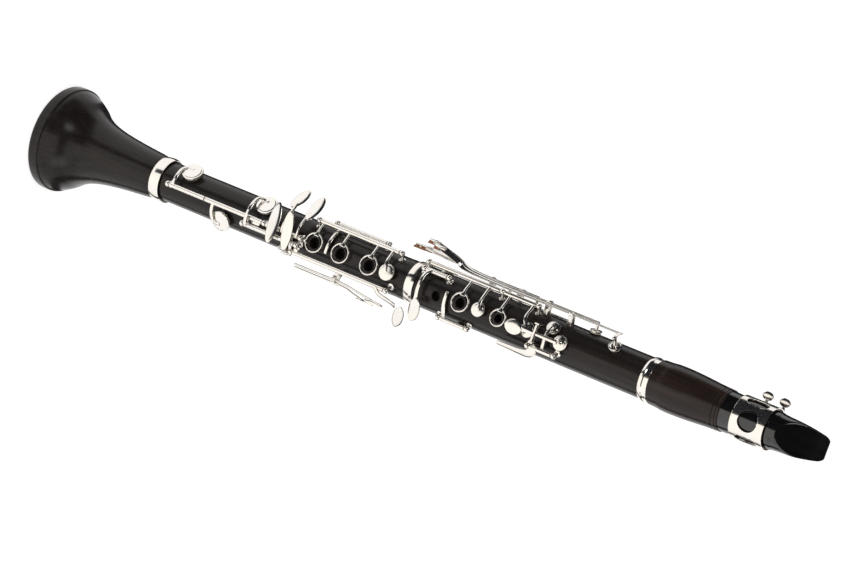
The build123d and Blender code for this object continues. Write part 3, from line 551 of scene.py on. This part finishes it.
def build_barrel():
    z_ring = Z_BARREL + RING_H
    skin = smooth_path([(16.25, z_ring + 0.3), (16.55, z_ring + 6), (17.1, Z_BARREL + 19),
        (17.15, Z_BARREL + 27), (16.7, Z_BARREL + 38),
                        (15.75, Z_BARREL + 51), (15.35, Z_BARREL + 57.5)], 8)
    top = [(15.3, Z_MOUTH - 5.6), (15.02, Z_MOUTH - 5.3), (15.02, Z_MOUTH - 4.9), (15.27, Z_MOUTH - 4.6),
        (15.22, Z_MOUTH - 2.6),
           (14.95, Z_MOUTH - 2.3), (14.95, Z_MOUTH - 1.9), (15.15, Z_MOUTH - 1.6), (15.05, Z_MOUTH - 0.3),
               (14.7, Z_MOUTH)]
    profile = np.vstack([[(SOCKET_R, Z_BARREL), (15.0, Z_BARREL), (15.0, z_ring - 0.05), (15.9, z_ring)],
        skin,
        top, [(SOCKET_R, Z_MOUTH), (SOCKET_R, Z_MOUTH - SOCKET_DEEP), (BORE, Z_MOUTH - SOCKET_DEEP),
            (BORE, Z_BARREL + SOCKET_DEEP),
        (SOCKET_R, Z_BARREL + SOCKET_DEEP), (SOCKET_R, Z_BARREL)]])
    add_piece("barrel_wood", [lathe(profile, UPRIGHT, 144)], replaces=["barrel"],
        material=FINISHES["barrel_wood"])
    z0 = Z_BARREL
    profile = rounded([(15.05, z0), (15.9, z0), (16.25, z0 + 1.9), (16.25, z0 + 2.6), (15.6, z0 + 3.4),
        (15.75, z0 + 6.8), (15.6, z_ring), (15.05, z_ring), (15.05, z0)], 0.35)
    add_piece("barrel_ferrule", [lathe(profile, UPRIGHT, 128)],
        replaces=["barrel_ring"], material=FINISHES["silver"])


# Mouthpiece, reed and ligature ------------------------------------------------------------------------

TABLE_Y, BEAK_Z, TIP_T, REED_T = 10.6, Z_TIP - 30.5, 1.0, 2.6
LIG_Z0, LIG_H, LIG_R = Z_MOUTH + 9.5, 26.0, 14.75
SCREW_Y, SCREW_LEVELS = 17.2, (LIG_Z0 + 6.5, LIG_Z0 + 20.0)


def build_mouthpiece():
    """Round stem cut by the reed's table behind, the beak in front and the rails at the sides.

    From a centre line that drifts back towards the tip, the wall in each direction is the nearest of
    the circle and the four flats, blended by (sum d^-p)^(-1/p) so that their edges are softened."""
    z = np.concatenate([np.linspace(Z_MOUTH, BEAK_Z, 40),
        BEAK_Z + (Z_TIP - BEAK_Z) * np.sin(np.linspace(0.03, pi / 2, 44))])
    phi = np.linspace(0, 2 * pi, 160, endpoint=False)
    k = np.clip((z - BEAK_Z) / (Z_TIP - BEAK_Z), 0, 1)
    radius = 14.5 - (z - Z_MOUTH) * 2.2 / 73.5
    step = np.clip((z - (Z_MOUTH + 39.5)) / 1.2, 0, 1)
    radius = radius - 0.35 * step
    rear = np.where(z < Z_MOUTH + 6, 40.0, TABLE_Y)
    front = np.where(k > 0, 12.9 - k * (12.9 + TABLE_Y - TIP_T), 40.0) + 0.9 * np.sin(pi * k) ** 1.2
    half = np.where(k > 0, 13.2 - 4.7 * k**1.7 - 1.6 * np.clip((k - 0.93) / 0.07, 0, 1) ** 2, 40.0)
    centre = np.where(k > 0, np.clip((rear - front) / 2, 0, None) * (k > 0), 0) * np.clip(k * 1.6, 0, 1)
    centre = np.where(k > 0, np.clip(centre, -front + 0.3, rear - 0.3), 0)
    dx, dy = np.sin(phi)[None], -np.cos(phi)[None]
    c = centre[:, None]
    circle = -c * dy + np.sqrt(np.clip((c * dy) ** 2 - (c**2 - radius[:, None] ** 2), 0.01, None))
    tiny = 1e-6
    back = np.where(dy > tiny, (rear[:, None] - c) / np.maximum(dy, tiny), 1e3)
    fore = np.where(dy < -tiny, (front[:, None] + c) / np.maximum(-dy, tiny), 1e3)
    side = half[:, None] / np.maximum(np.abs(dx), tiny)
    p = 26.0
    wall = (circle**-p + np.maximum(back, 0.2) ** -p + np.maximum(fore, 0.2) ** -p + side**-p) ** (-1 / p)
    points = np.stack([wall * dx, c + wall * dy, np.broadcast_to(z[:, None], wall.shape)], -1)
    first = points[:1] * np.array([0, 0, 1.0])
    tip = points[-1:].copy()
    tip[..., 0] = 0
    tip[..., 1] = centre[-1]
    grid = np.vstack([first, points, tip])
    add_piece("mouthpiece_body", [(grid.reshape(-1, 3), strip_faces(len(grid), len(phi)))],
        replaces=["mouthpiece"], material=FINISHES["ebonite"], sharp=50)


def build_reed():
    """Cane reed: full bark over the stock, then the vamp scraped down to a thin tip."""
    z0, length = Z_TIP - 66.4, 66.0
    z = z0 + length * np.linspace(0, 1, 60)
    cut = np.clip((z - z0 - 30) / (length - 30), 0, 1)
    thick = REED_T - (REED_T - 0.3) * cut**0.8
    half_w = np.interp(z, [z0, z0 + length * 0.5, z0 + length * 0.97, z0 + length], [5.9, 6.2, 6.3, 5.6])
    line = np.stack([0 * z, TABLE_Y + 0.06 + thick / 2, z], -1)
    up = np.broadcast_to([0.0, 1.0, 0.0], line.shape)
    add_piece("reed_cane", [sweep(line, up, half_w, thick / 2, n=28, power=4.0)],
        replaces=["reed"], material=FINISHES["cane"])


def cut_band(radius, z0, z1, windows, n=300, rows=66, gap=3.0):
    """Open sheet round the tube with oval windows (th, z, half angle-wise, half upward, power).

    Grid points close to a window's edge are moved onto it, so that the opening has a clean outline."""
    half_gap = np.degrees(gap / 2 / radius)
    th = np.linspace(-180 + half_gap, 180 - half_gap, n)
    z = np.linspace(z0, z1, rows)
    zz, tt = np.meshgrid(z, th, indexing="ij")
    x = np.radians(tt) * radius
    inside = np.zeros(zz.shape, bool)
    cell = max((z1 - z0) / rows, 2 * pi * radius / n)
    for th0, zc, a, b, p in windows:
        u, v = x - radians(th0) * radius, zz - zc
        f = (np.abs(u / a) ** p + np.abs(v / b) ** p) ** (1 / p)
        near = np.abs(f - 1) * min(a, b) < 0.62 * cell
        scale = np.where(near, 1 / np.maximum(f, 0.2), 1)
        x, zz = radians(th0) * radius + u * scale, zc + v * scale
        inside |= (f < 1) & ~near
    points = polar(radius, np.degrees(x / radius), zz).reshape(-1, 3)
    faces = strip_faces(rows, n, wrap=False)
    gone = inside.reshape(-1)[faces].any(1)
    return points, faces[~gone]


def build_ligature():
    mid = LIG_Z0 + LIG_H / 2
    windows = [(0, mid, 7.6, 7.6, 2), (60, mid, 3.8, 8.6, 2.2), (-60, mid, 3.8, 8.6, 2.2),
        (128, mid, 3.0, 7.5, 2.2), (-128, mid, 3.0, 7.5, 2.2)]
    band = add_piece("ligature_sleeve", [cut_band(LIG_R + 0.05, LIG_Z0, LIG_Z0 + LIG_H, windows)],
        replaces=["ligature_band"], material=FINISHES["silver"])
    for name, kind, settings in (("wall", "SOLIDIFY", {"thickness": 0.75 * MM, "offset": 1.0}),
        ("edge", "BEVEL", {"width": 0.12 * MM, "segments": 2, "limit_method": "ANGLE"})):
        modifier = band.modifiers.new(name, kind)
        for key, value in settings.items():
            setattr(modifier, key, value)
    lugs = []
    for z in SCREW_LEVELS:
        for side in (-1, 1):
            line = np.stack([np.full(9, side * 3.0), np.linspace(14.2, 18.6, 9), np.full(9, z)], -1)
            lugs.append(sweep(line, np.broadcast_to([1.0, 0, 0], line.shape), 2.4, 1.35, n=24, power=4.5))
    add_piece("ligature_lugs", lugs, material=FINISHES["silver"])
    for index, z in enumerate(SCREW_LEVELS):
        x_frame = (np.array([0, SCREW_Y, z]), np.array([0, 1.0, 0]), np.array([0, 0, 1.0]),
            np.array([-1.0, 0, 0]))
        shank = [(0, -5.0), (1.0, -5.0), (1.0, 6.7), (1.8, 7.0), (1.75, 8.4), (1.2, 9.0), (1.2, 12.4),
            (1.7, 13.2), (1.5, 14.8), (0, 15.4)]
        u = np.linspace(-pi / 2, pi / 2, 33)
        line = np.stack([-18.4 + 0 * u, SCREW_Y + 0 * u, z + 4.15 * np.sin(u)], -1)
        width = 3.1 * np.sqrt(np.clip(1 - (np.abs(np.sin(u)) * 0.995) ** 2.4, 0, 1))
        thumb = sweep(line, np.broadcast_to([0, 1.0, 0], line.shape), width, 0.78, n=20, power=2.6)
        name = f"ligature_screw_{index + 1}"
        add_piece(f"{name}_head", [lathe(shank, x_frame, 24), thumb], name, [name],
            FINISHES["silver"])


# Keywork ----------------------------------------------------------------------------------------------

def seat(body_r):
    return body_r + SEAT_UP + SEAT_GAP


def key_piece(node, *shapes):
    add_piece(f"{node}_form", list(shapes), node, [node], FINISHES["silver"])
    if f"{node}_pad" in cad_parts:
        dress(f"{node}_pad", FINISHES["skin"])


def ball_post(r, th, z, body_r):
    """Turned post: flange, waist and ball, in one profile on the radial line."""
    ball = 2.25
    angles = np.linspace(-1.15, pi / 2, 14)
    head = [(ball * cos(a), r + ball * sin(a)) for a in angles]
    head[-1] = (0, r + ball)
    profile = [(0, body_r - 0.4), (2.55, body_r - 0.4), (2.6, body_r + 0.35), (2.1, body_r + 0.75),
        (1.15, body_r + 1.1), (0.95, (body_r + r - 1.6) / 2 + 0.4), *head]
    return lathe(profile, radial_frame(0, th, z), 28)


def build_posts():
    shapes = [ball_post(*p, R_LOW) for p in LOWER_POSTS] + [ball_post(*p, R_UP) for p in UPPER_POSTS]
    add_piece("ball_posts", shapes, replaces=["keywork_posts"],
        material=FINISHES["silver"])
    for node in ("pivot_saddles", "thumb_rest"):
        dress(node, FINISHES["silver"])
    for node in ("hinge_rods", "pivot_screws", "thumb_rest_screws", "register_tube"):
        dress(node, FINISHES["steel"])
    dress("tenon_corks", FINISHES["cork"])


def ring_key(node, axis, body_r, z0, z1, rings, pad_at, z_arm):
    r, th = axis
    low = seat(body_r)
    shapes = [tube(axis, z0, z1)]
    r_ring = body_r + CHIMNEY_UP - RING_KEY_T + 0.1
    for ring_th, z, outer, inner in rings:
        shapes.append(turned(ring(r_ring, ring_th, z, outer, inner), axis, -OPEN_RING))
        r_arm = ((r_ring + RING_KEY_T) ** 2 + outer**2) ** 0.5 + 0.35
        end = ring_th - 2.8 * outer - 1.5
        shapes.append(arm([(r + 0.6, th - 2, z), (r_arm + 0.6, th + 12, z), (r_arm, end - 4, z),
            (r_arm - 0.25, end + 4.5, z)], [1.1, 1.0, 1.1, 2.6], 0.62))
    shapes.append(turned(cup(low, *pad_at), axis, -OPEN_RING))
    r_arm = low + PAD_T + CUP_T + 1.25
    shapes.append(arm([(r + 0.6, th - 2, z_arm), (r_arm + 0.5, th + 16, z_arm),
        (r_arm + 0.15, pad_at[0] - 22, z_arm + 0.3), (r_arm - 0.1, pad_at[0], pad_at[1])],
        [1.3, 1.1, 1.2, 1.7], 0.7))
    key_piece(node, *shapes)


def build_ring_keys():
    ring_key("right_ring_key", A_RH, R_LOW, 245.7, 315.3, [(th, z, 7.5, 6.3) for th, z, *_ in LOWER_HOLES],
        PADS["rh"], 310.8)
    ring_key("left_second_ring_key", A_LH, R_UP, 341.3, 401.0, [(-0.8, 377.5, 7.3, 6.0)], PADS["lh2"], 393.0)
    ring_key("left_first_ring_key", A_LH, R_UP, 404.8, 432.0, [(-0.9, 410.0, 6.5, 5.2)], PADS["lh1"], 430.5)
    low = seat(R_UP)
    key_piece("thumb_ring_key", tube(A_THUMB, 417.9, 446.1),
        turned(ring(R_UP + CHIMNEY_UP - 1.1, 180.0, 425.0, 6.5, 5.2), A_THUMB, OPEN_RING),
              turned(cup(low, *PADS["th"]), A_THUMB, OPEN_RING),
                  arm([(20.0, -135, 425), (19.4, -150, 425), (19.2, -162, 425)], 1.4),
              arm([(20.0, -135, 441), (19.8, -152, 441), (19.4, -167, 441)], 1.4))


def build_little_finger_keys():
    r, th = A_FRONT
    low = seat(R_LOW)
    r_arm = low + PAD_T + CUP_T + 1.75
    key_piece("e_b_key", tube(A_FRONT, 117.9, 150.6), tube(A_FRONT, 207.4, 220.2),
              arm([(r + 0.2, th, 120.2), (20.2, -20, 120.3), (20.1, -42, 120.9), (r_arm + 0.3, -52, 123.5),
                  (r_arm, -53, 128.3)], 1.5, 0.8),
              turned(cup(low, *PADS["eb"]), A_FRONT, OPEN_BIG), leaf(22.2, -8.0, 214.6, 31, 9.4, swing=7),
              arm([(21.2, 1, 209.8), (21.6, 1, 214.5), (21.2, 1, 219.2)], 1.6, 0.9))
    key_piece("f_c_key", tube(A_FRONT, 151.0, 203.6),
              arm([(r + 0.2, th, 158.7), (20.3, 18, 158.9), (20.1, 36, 160.0), (r_arm + 0.3, 44, 162.3),
                  (r_arm, 45, 166.0)], 1.5, 0.8),
              turned(cup(low, *PADS["fc"]), A_FRONT, -OPEN_BIG),
                  arm([(19.4, 1, 198), (19.3, 10.5, 198)], 3.8, 0.7))
    key_piece("f_c_lever", tube(A_FRONT, 220.8, 226.6),
        arm([(21.2, 2, 222), (22.1, -18, 222), (22.3, -45, 221.9), (23.8, -62, 220.6)],
        [1.0, 0.95, 1.1, 1.8], 0.8),
              leaf(24.6, -78.0, 219.0, 23, 9.4, tilt=28, swing=2))
    z_hi = 236.5
    key_piece("a_flat_key", tube(A_FRONT, 227.2, z_hi),
        arm([(21.2, 2, 235.4), (22.1, -18, 235.4), (22.3, -38, 235.6), (23.9, -50, 236.4)],
        [1.0, 0.95, 1.1, 1.9], 0.8),
              leaf(24.4, -64.0, 237.0, 25, 9.6, tilt=22, swing=6),
                  arm([(18.1, 1, 228.7), (16.5, 6, 228.7), (16.4, 30, 228.7), (16.5, 60, 227.8)], 1.4, 0.65),
              arm([(low + PAD_T + 1.0, 61, 228.5), (low + PAD_T + 1.3, 62, 224),
                  (low + PAD_T + 1.2, 62, 221)], 1.5, 0.5), cup(low, *PADS["ae"]))
    key_piece("f_sharp_key", tube(A_SHARP, 189.3, 234.7),
              arm([(21.6, 18, 191), (22.9, 8, 191), (22.9, -25, 191.2), (22.5, -42, 192.6),
                  (r_arm + 0.8, -47, 195.2), (r_arm, -47, 199)], 1.5, 0.8),
              turned(cup(low, *PADS["fs"]), A_SHARP, OPEN_SHARP),
                  leaf(22.6, -4.0, 228.0, 29, 9.2, tilt=12, swing=4),
              arm([(21.7, 17, 225.5), (22.4, 16, 228.5), (21.7, 17, 232.5)], 1.8, 1.1))


def build_levers():
    key_piece("left_f_sharp_lever", tube(A_LEVER, 235.5, 316.2),
        arm([(22.6, 35, 309.5), (24.4, 41, 314), (24.6, 47, 322), (25.6, 50, 328)], [2.0, 1.9, 2.0, 2.8],
        0.8),
              leaf(27.4, 70.0, 330.0, 24, 9.0, tilt=-26, swing=-22),
                  arm([(21.4, 33, 237.4), (20.9, 25.5, 237.4)], 1.9, 0.75))
    for node, th, z_pin, z_touch, z_foot in (("left_e_b_lever", 60.0, 272.0, 308.0, 236.0),
        ("left_f_c_lever", 82.0, 268.0, 295.5, 232.0)):
        key_piece(node, arm([(22.8, th, z_foot), (22.8, th, z_pin - 12), (22.8, th, z_pin + 8),
            (24.6, th, (z_pin + 8 + z_touch) / 2), (26.4, th, z_touch)], [1.1, 1.4, 1.4, 1.5, 1.5], 0.68),
                  cross_tube(22.0, th, z_pin, 1.5), leaf(25.6, th + 6, z_touch, 9.5, 17, swing=8))


def build_slivers():
    low = seat(R_LOW)
    key_piece("right_sliver_key", tube(A_RH_SLIVER, 256.4, 298.6),
        arm([(17.4, -76, 260.2), (17.0, -55, 260.4), (16.9, -25, 260.4), (16.9, 13, 260.0)],
        [1.5, 1.3, 1.45, 1.2], 0.66),
              arm([(low + PAD_T + 0.8, -76, 285), (low + PAD_T + 0.8, -99, 285)], 1.3, 0.6),
                  cup(low, *PADS["rs"]))
    low = seat(R_UP)
    key_piece("left_sliver_key", tube(A_LH_SLIVER, 362.9, 384.1),
        arm([(17.8, 56, 365.3), (17.4, 38, 365.4), (17.3, 12, 365.2), (17.3, -13, 365.0)],
        [1.6, 1.6, 1.5, 1.2], 0.66),
              arm([(low + PAD_T + 0.8, 56, 378), (low + PAD_T + 0.8, 79, 378)], 1.3, 0.6),
                  cup(low, *PADS["ls"]))


def build_upper_keys():
    low = seat(R_UP)
    key_piece("c_sharp_key", tube(A_CG, 341.3, 359.1),
        arm([(19.9, -44, 346.5), (19.95, -30, 343.6), (19.9, 0, 343.2), (20.1, 22, 343.3),
        (21.2, 34, 343.3)], [1.6, 1.5, 1.5, 1.6, 2.0], 0.68),
              leaf(21.4, 50.0, 342.8, 22, 9.6, tilt=-14, swing=-16),
                  arm([(low + PAD_T + 0.6, -44, 352), (low + PAD_T + 0.6, -85, 352)], 1.3, 0.6),
                  cup(low, *PADS["cg"]))
    r_pin, th, z_pin = 22.8, -2.0, 444.0
    key_piece("throat_a_key", arm([(r_pin + 0.35, th, 428), (r_pin + 0.2, th, 444),
        (r_pin + 0.2, th, 462.4)], [2.6, 1.3, 1.5], 0.66), cross_tube(r_pin, th, z_pin, 6.0, 1.5),
              leaf(r_pin - 0.4, th + 3, 427.0, 10.5, 14.5, blunt=2.0),
                  stalk(low + PAD_T + 0.9, r_pin, PADS["a"][0], PADS["a"][1], 1.6), cup(low, *PADS["a"]))
    key_piece("throat_g_sharp_key", tube(A_GS, 441.4, 459.6),
        arm([(19.2, 27, 450.8), (18.9, 12, 450.8), (18.9, -12, 450.8), (18.7, -31, 452.0)], 1.4, 0.66),
        cup(low, *PADS["gs"]),
              stalk(low + PAD_T + 0.9, 18.7, PADS["gs"][0], PADS["gs"][1], 1.7),
                  arm([(21.5, 28, 445.5), (21.6, 38, 443), (21.7, 45.5, 437), (21.7, 45.5, 425),
                  (21.7, 45.5, 414.8)], [3.0, 3.4, 3.4, 2.6, 2.0], 0.66))
    key_piece("register_key", arm([(21.2, 180, 453), (21.2, 180, 477), (21.2, 180, 503)], [2.0, 1.4, 1.5],
        0.66), cross_tube(20.6, 180, 477, 1.8), leaf(20.8, 180, 455, 8, 13),
              stalk(low + 1.6 + PAD_T + 0.9, 21.2, 180, 503, 1.6), cup(low + 1.6, *PADS["reg"]))


def build_side_keys():
    low = seat(R_UP)
    for index, (th, z_pin, z_touch, r_touch, z_pad) in enumerate(TRILL):
        pad_at = PADS[f"t{index + 1}"]
        bend = min(z_pin - 8, 376.0)
        r = R_TRILL + 0.6
        shapes = [arm([(r_touch, th, z_touch), (r + (r_touch - r) * 0.5, th, (z_touch + bend) / 2),
            (r, th, bend), (r, th, z_pin), (r, th, z_pad)], [2.3, 2.3, 1.3, 1.15, 1.15], 0.66,
            face=[38, 34, 14, 0, 0]),
                  cross_tube(R_TRILL, th, z_pin, 1.3),
                      stalk(low + PAD_T + 0.9, r, pad_at[0], pad_at[1], 1.4), cup(low, *pad_at),
                      leaf(r_touch - 0.7, th, z_touch, 4.4, 10.0)]
        if pad_at[0] != th:
            shapes.append(arm([(r, th, z_pad - 1.5), (r, (th + pad_at[0]) / 2, z_pad - 1.5),
                (r, pad_at[0], z_pad - 1)], 1.5, 0.66))
        key_piece(f"side_key_{index + 1}", *shapes)
        cork = arm([(r_touch - 1.5, th, z_touch - 5.0), (r_touch - 1.5, th, z_touch + 4.5)], 1.5, 0.75,
            face=30)
        add_piece(f"side_key_{index + 1}_bumper", [cork], f"side_key_{index + 1}",
            material=FINISHES["cork"])


# Studio -----------------------------------------------------------------------------------------------

# Degrees from straight in front to the camera's side, towards the player's left.
VIEW_SIDE = -5.2
FLOOR_GLOW, FLOOR_HALF, LAMP_AIM = 0.72, 6.0, Vector((0, 0, 0.33))
# The colour sockets of a Mix node, by number, because they share their names with the others.
MIX_A, MIX_B, MIX_OUT = 6, 7, 2
WORLD_STOPS = [(0.38, (0.015, 0.018, 0.024)), (0.47, (0.34, 0.335, 0.33)), (0.60, (0.86, 0.845, 0.82))]
# Cards seen only in reflections: start and stop in degrees from the camera's side, (radius, height)
# stations from the object outwards and upwards, tone, and glow.
CARDS = [
    ("softbox_card", 2.0, 48.0, ((45, 2), (2200, 2), (2200, 1500)), (1.0, 0.965, 0.92), 1.25),
    ("dark_card_top", -40.0, 70.0, ((2150, 1300), (2150, 3900)), (0.012, 0.014, 0.02), 0.0),
    ("dark_card_right", 106.0, 122.0, ((45, 2), (2200, 2), (2200, 2600)), (0.02, 0.022, 0.03), 0.0),
    ("dark_card_left", -96.0, 2.0, ((700, 2), (2200, 2), (2200, 2600)), (0.012, 0.014, 0.02), 0.0),
    ("dark_strip", -34.0, -14.0, ((120, 3), (720, 3)), (0.03, 0.033, 0.045), 0.0),
    ("dark_card_back", -172.0, -128.0, ((45, 2), (2200, 2), (2200, 2600)), (0.05, 0.055, 0.07), 0.0),
]


def reflect_card(name, start, stop, stations, tone, glow):
    """A wedge round the object: one row of points, spread over the angle, at each station."""
    th = np.linspace(start, stop, 13) + VIEW_SIDE
    rows = [polar(r, th, z) for r, z in stations]
    mesh = bpy.data.meshes.new(name)
    mesh.from_pydata((np.vstack(rows) * MM).tolist(), [],
        strip_faces(len(rows), len(th), wrap=False).tolist())
    card = Finish(name, Roughness=0.9, Specular_IOR_Level=0.0)
    card.shader.inputs["Base Color"].default_value = (*tone, 1) if not glow else (0, 0, 0, 1)
    card.shader.inputs["Emission Color"].default_value = (*tone, 1)
    card.shader.inputs["Emission Strength"].default_value = glow
    mesh.materials.append(card.material)
    piece = bpy.data.objects.new(name, mesh)
    bpy.context.scene.collection.objects.link(piece)
    piece.visible_camera = piece.visible_diffuse = piece.visible_shadow = False


def build_studio():
    """Pale floor, soft lights and the camera that looks down on the front from well in front."""
    floor = Finish("studio_floor", Roughness=0.9, Specular_IOR_Level=0.0)
    soft = floor.noise(3.0)
    floor.feed("Base Color", floor.node("ShaderNodeValToRGB", out="Color", Fac=soft,
        ramp=[(0.3, (0.78, 0.78, 0.78)), (0.7, (0.80, 0.80, 0.80))]))
    floor.shader.inputs["Emission Color"].default_value = (1, 1, 1, 1)
    floor.shader.inputs["Emission Strength"].default_value = FLOOR_GLOW
    half = FLOOR_HALF
    mesh = bpy.data.meshes.new("studio_floor")
    mesh.from_pydata([(-half, -half, 0), (half, -half, 0), (half, half, 0), (-half, half, 0)], [],
        [(0, 1, 2, 3)])
    mesh.materials.append(floor.material)
    plane = bpy.data.objects.new("studio_floor", mesh)
    bpy.context.scene.collection.objects.link(plane)
    world = bpy.data.worlds.new("studio")
    bpy.context.scene.world = world
    world.use_nodes = True
    tree = world.node_tree
    nodes, link = tree.nodes, tree.links.new
    turn, patch, ramp, path, mix = (nodes.new(f"ShaderNode{kind}") for kind in ("TexCoord", "TexNoise",
        "ValToRGB", "LightPath", "Mix"))
    patch.inputs["Scale"].default_value, patch.inputs["Detail"].default_value = 1.7, 0.6
    stops = ramp.color_ramp.elements
    stops.new(0.5)
    for stop, (at, colour) in zip(stops, WORLD_STOPS):
        stop.position, stop.color = at, (*colour, 1)
    mix.data_type = "RGBA"
    mix.inputs[MIX_B].default_value = (1, 1, 1, 1)
    link(turn.outputs["Generated"], patch.inputs["Vector"])
    link(patch.outputs["Fac"], ramp.inputs["Fac"])
    link(path.outputs["Is Camera Ray"], mix.inputs["Factor"])
    link(ramp.outputs["Color"], mix.inputs[MIX_A])
    link(mix.outputs[MIX_OUT], nodes["Background"].inputs["Color"])
    for name, place, size, power, tint in (
        ("key_light", (-1.1, -1.5, 1.7), (0.5, 1.3), 8.0, (1, 0.985, 0.96)),
        ("fill_light", (1.6, -0.9, 1.1), (0.9, 1.2), 4.0, (1, 0.97, 0.94)),
        ("back_light", (0.4, 1.6, 1.9), (1.2, 1.2), 5.0, (0.97, 0.98, 1.0)),
    ):
        data = bpy.data.lights.new(name, "AREA")
        data.shape, data.energy, data.color = "RECTANGLE", power, tint
        data.size, data.size_y = size
        lamp = bpy.data.objects.new(name, data)
        lamp.location = place
        lamp.rotation_euler = (LAMP_AIM - Vector(place)).to_track_quat("-Z", "Y").to_euler()
        bpy.context.scene.collection.objects.link(lamp)
    for card in CARDS:
        reflect_card(*card)
    azimuth, drop, roll, distance, height = radians(VIEW_SIDE), 0.511, radians(22.4), 2.4663, 1.7225
    sideways = 3.3 / 3995.28
    right = Vector((cos(azimuth), sin(azimuth), 0))
    ahead = Vector((-sin(azimuth) * cos(drop), cos(azimuth) * cos(drop), -sin(drop)))
    ahead = (ahead - right * sideways).normalized()
    up = right.cross(ahead)
    x = up * cos(roll) - right * sin(roll)
    y = -up * sin(roll) - right * cos(roll)
    data = bpy.data.cameras.new("camera")
    data.sensor_width, data.lens, data.clip_end = 36.0, 167.24, 20.0
    camera = bpy.data.objects.new("camera", data)
    turn = Matrix((x, y, -ahead)).transposed().to_4x4()
    camera.matrix_world = Matrix.Translation((distance * sin(azimuth), -distance * cos(azimuth),
        height)) @ turn
    bpy.context.scene.collection.objects.link(camera)
    bpy.context.scene.camera = camera
    bpy.context.scene.view_settings.view_transform = "Standard"


# Add-on -----------------------------------------------------------------------------------------------

class ClarinetLook(bpy.types.PropertyGroup):
    """Colours and polish of the clarinet."""

    wood: FloatVectorProperty(name="Wood", description="Warm streak colour of the blackwood",
        subtype="COLOR", size=3, default=(0.026, 0.018, 0.015))
    silver: FloatVectorProperty(name="Silver", description="Colour of the silver plate", subtype="COLOR",
        size=3, default=(0.84, 0.815, 0.78))
    polish: FloatProperty(name="Polish", description="Roughness of the silver plate", subtype="FACTOR",
        min=0.0, max=1.0, default=0.14)


def operator(key, label, text, work):
    """One operator class that runs the given builders in order."""

    def execute(self, context):
        if not FINISHES:
            make_finishes(context.scene.clarinet_look)
        for step in work:
            step()
        return {"FINISHED"}

    name = f"CLARINET_OT_{key}"
    return type(name, (bpy.types.Operator,), {"__doc__": text, "bl_idname": f"clarinet.{key}",
        "bl_label": label, "execute": execute})


OPERATORS = [
    operator("stage", "Studio", "Floor, lights and camera.", [build_studio]),
    operator("wood", "Wood and ferrules", "Bell, joints, barrel and their rings.",
        [build_bell, build_joints, build_barrel]),
    operator("mouthpiece", "Mouthpiece", "Mouthpiece, reed, ligature and its screws.",
        [build_mouthpiece, build_reed, build_ligature]),
    operator("posts", "Posts and rods", "Posts, saddles, hinge rods and screws.", [build_posts]),
    operator("rings", "Ring keys", "Finger rings, thumb ring and their cups.", [build_ring_keys]),
    operator("little_finger", "Little-finger keys", "Right-hand plates and left-hand levers.",
        [build_little_finger_keys, build_levers]),
    operator("upper_keys", "Other keys", "Slivers, throat keys, register key and side keys.",
        [build_slivers, build_upper_keys, build_side_keys]),
]


class CLARINET_PT_panel(bpy.types.Panel):
    """Sidebar panel with the clarinet's look and its pieces."""

    bl_label, bl_space_type, bl_region_type, bl_category = "Clarinet", "VIEW_3D", "UI", "Clarinet"

    def draw(self, context):
        for key in ("wood", "silver", "polish"):
            self.layout.prop(context.scene.clarinet_look, key)
        for kind in OPERATORS:
            self.layout.operator(kind.bl_idname)


CLASSES = [ClarinetLook, *OPERATORS, CLARINET_PT_panel]


def register():
    for kind in CLASSES:
        bpy.utils.register_class(kind)
    bpy.types.Scene.clarinet_look = PointerProperty(type=ClarinetLook)


def unregister():
    del bpy.types.Scene.clarinet_look
    for kind in reversed(CLASSES):
        bpy.utils.unregister_class(kind)


def main():
    register()
    for kind in OPERATORS:
        group, name = kind.bl_idname.split(".")
        getattr(getattr(bpy.ops, group), name)()


if __name__ == "__main__":
    main()
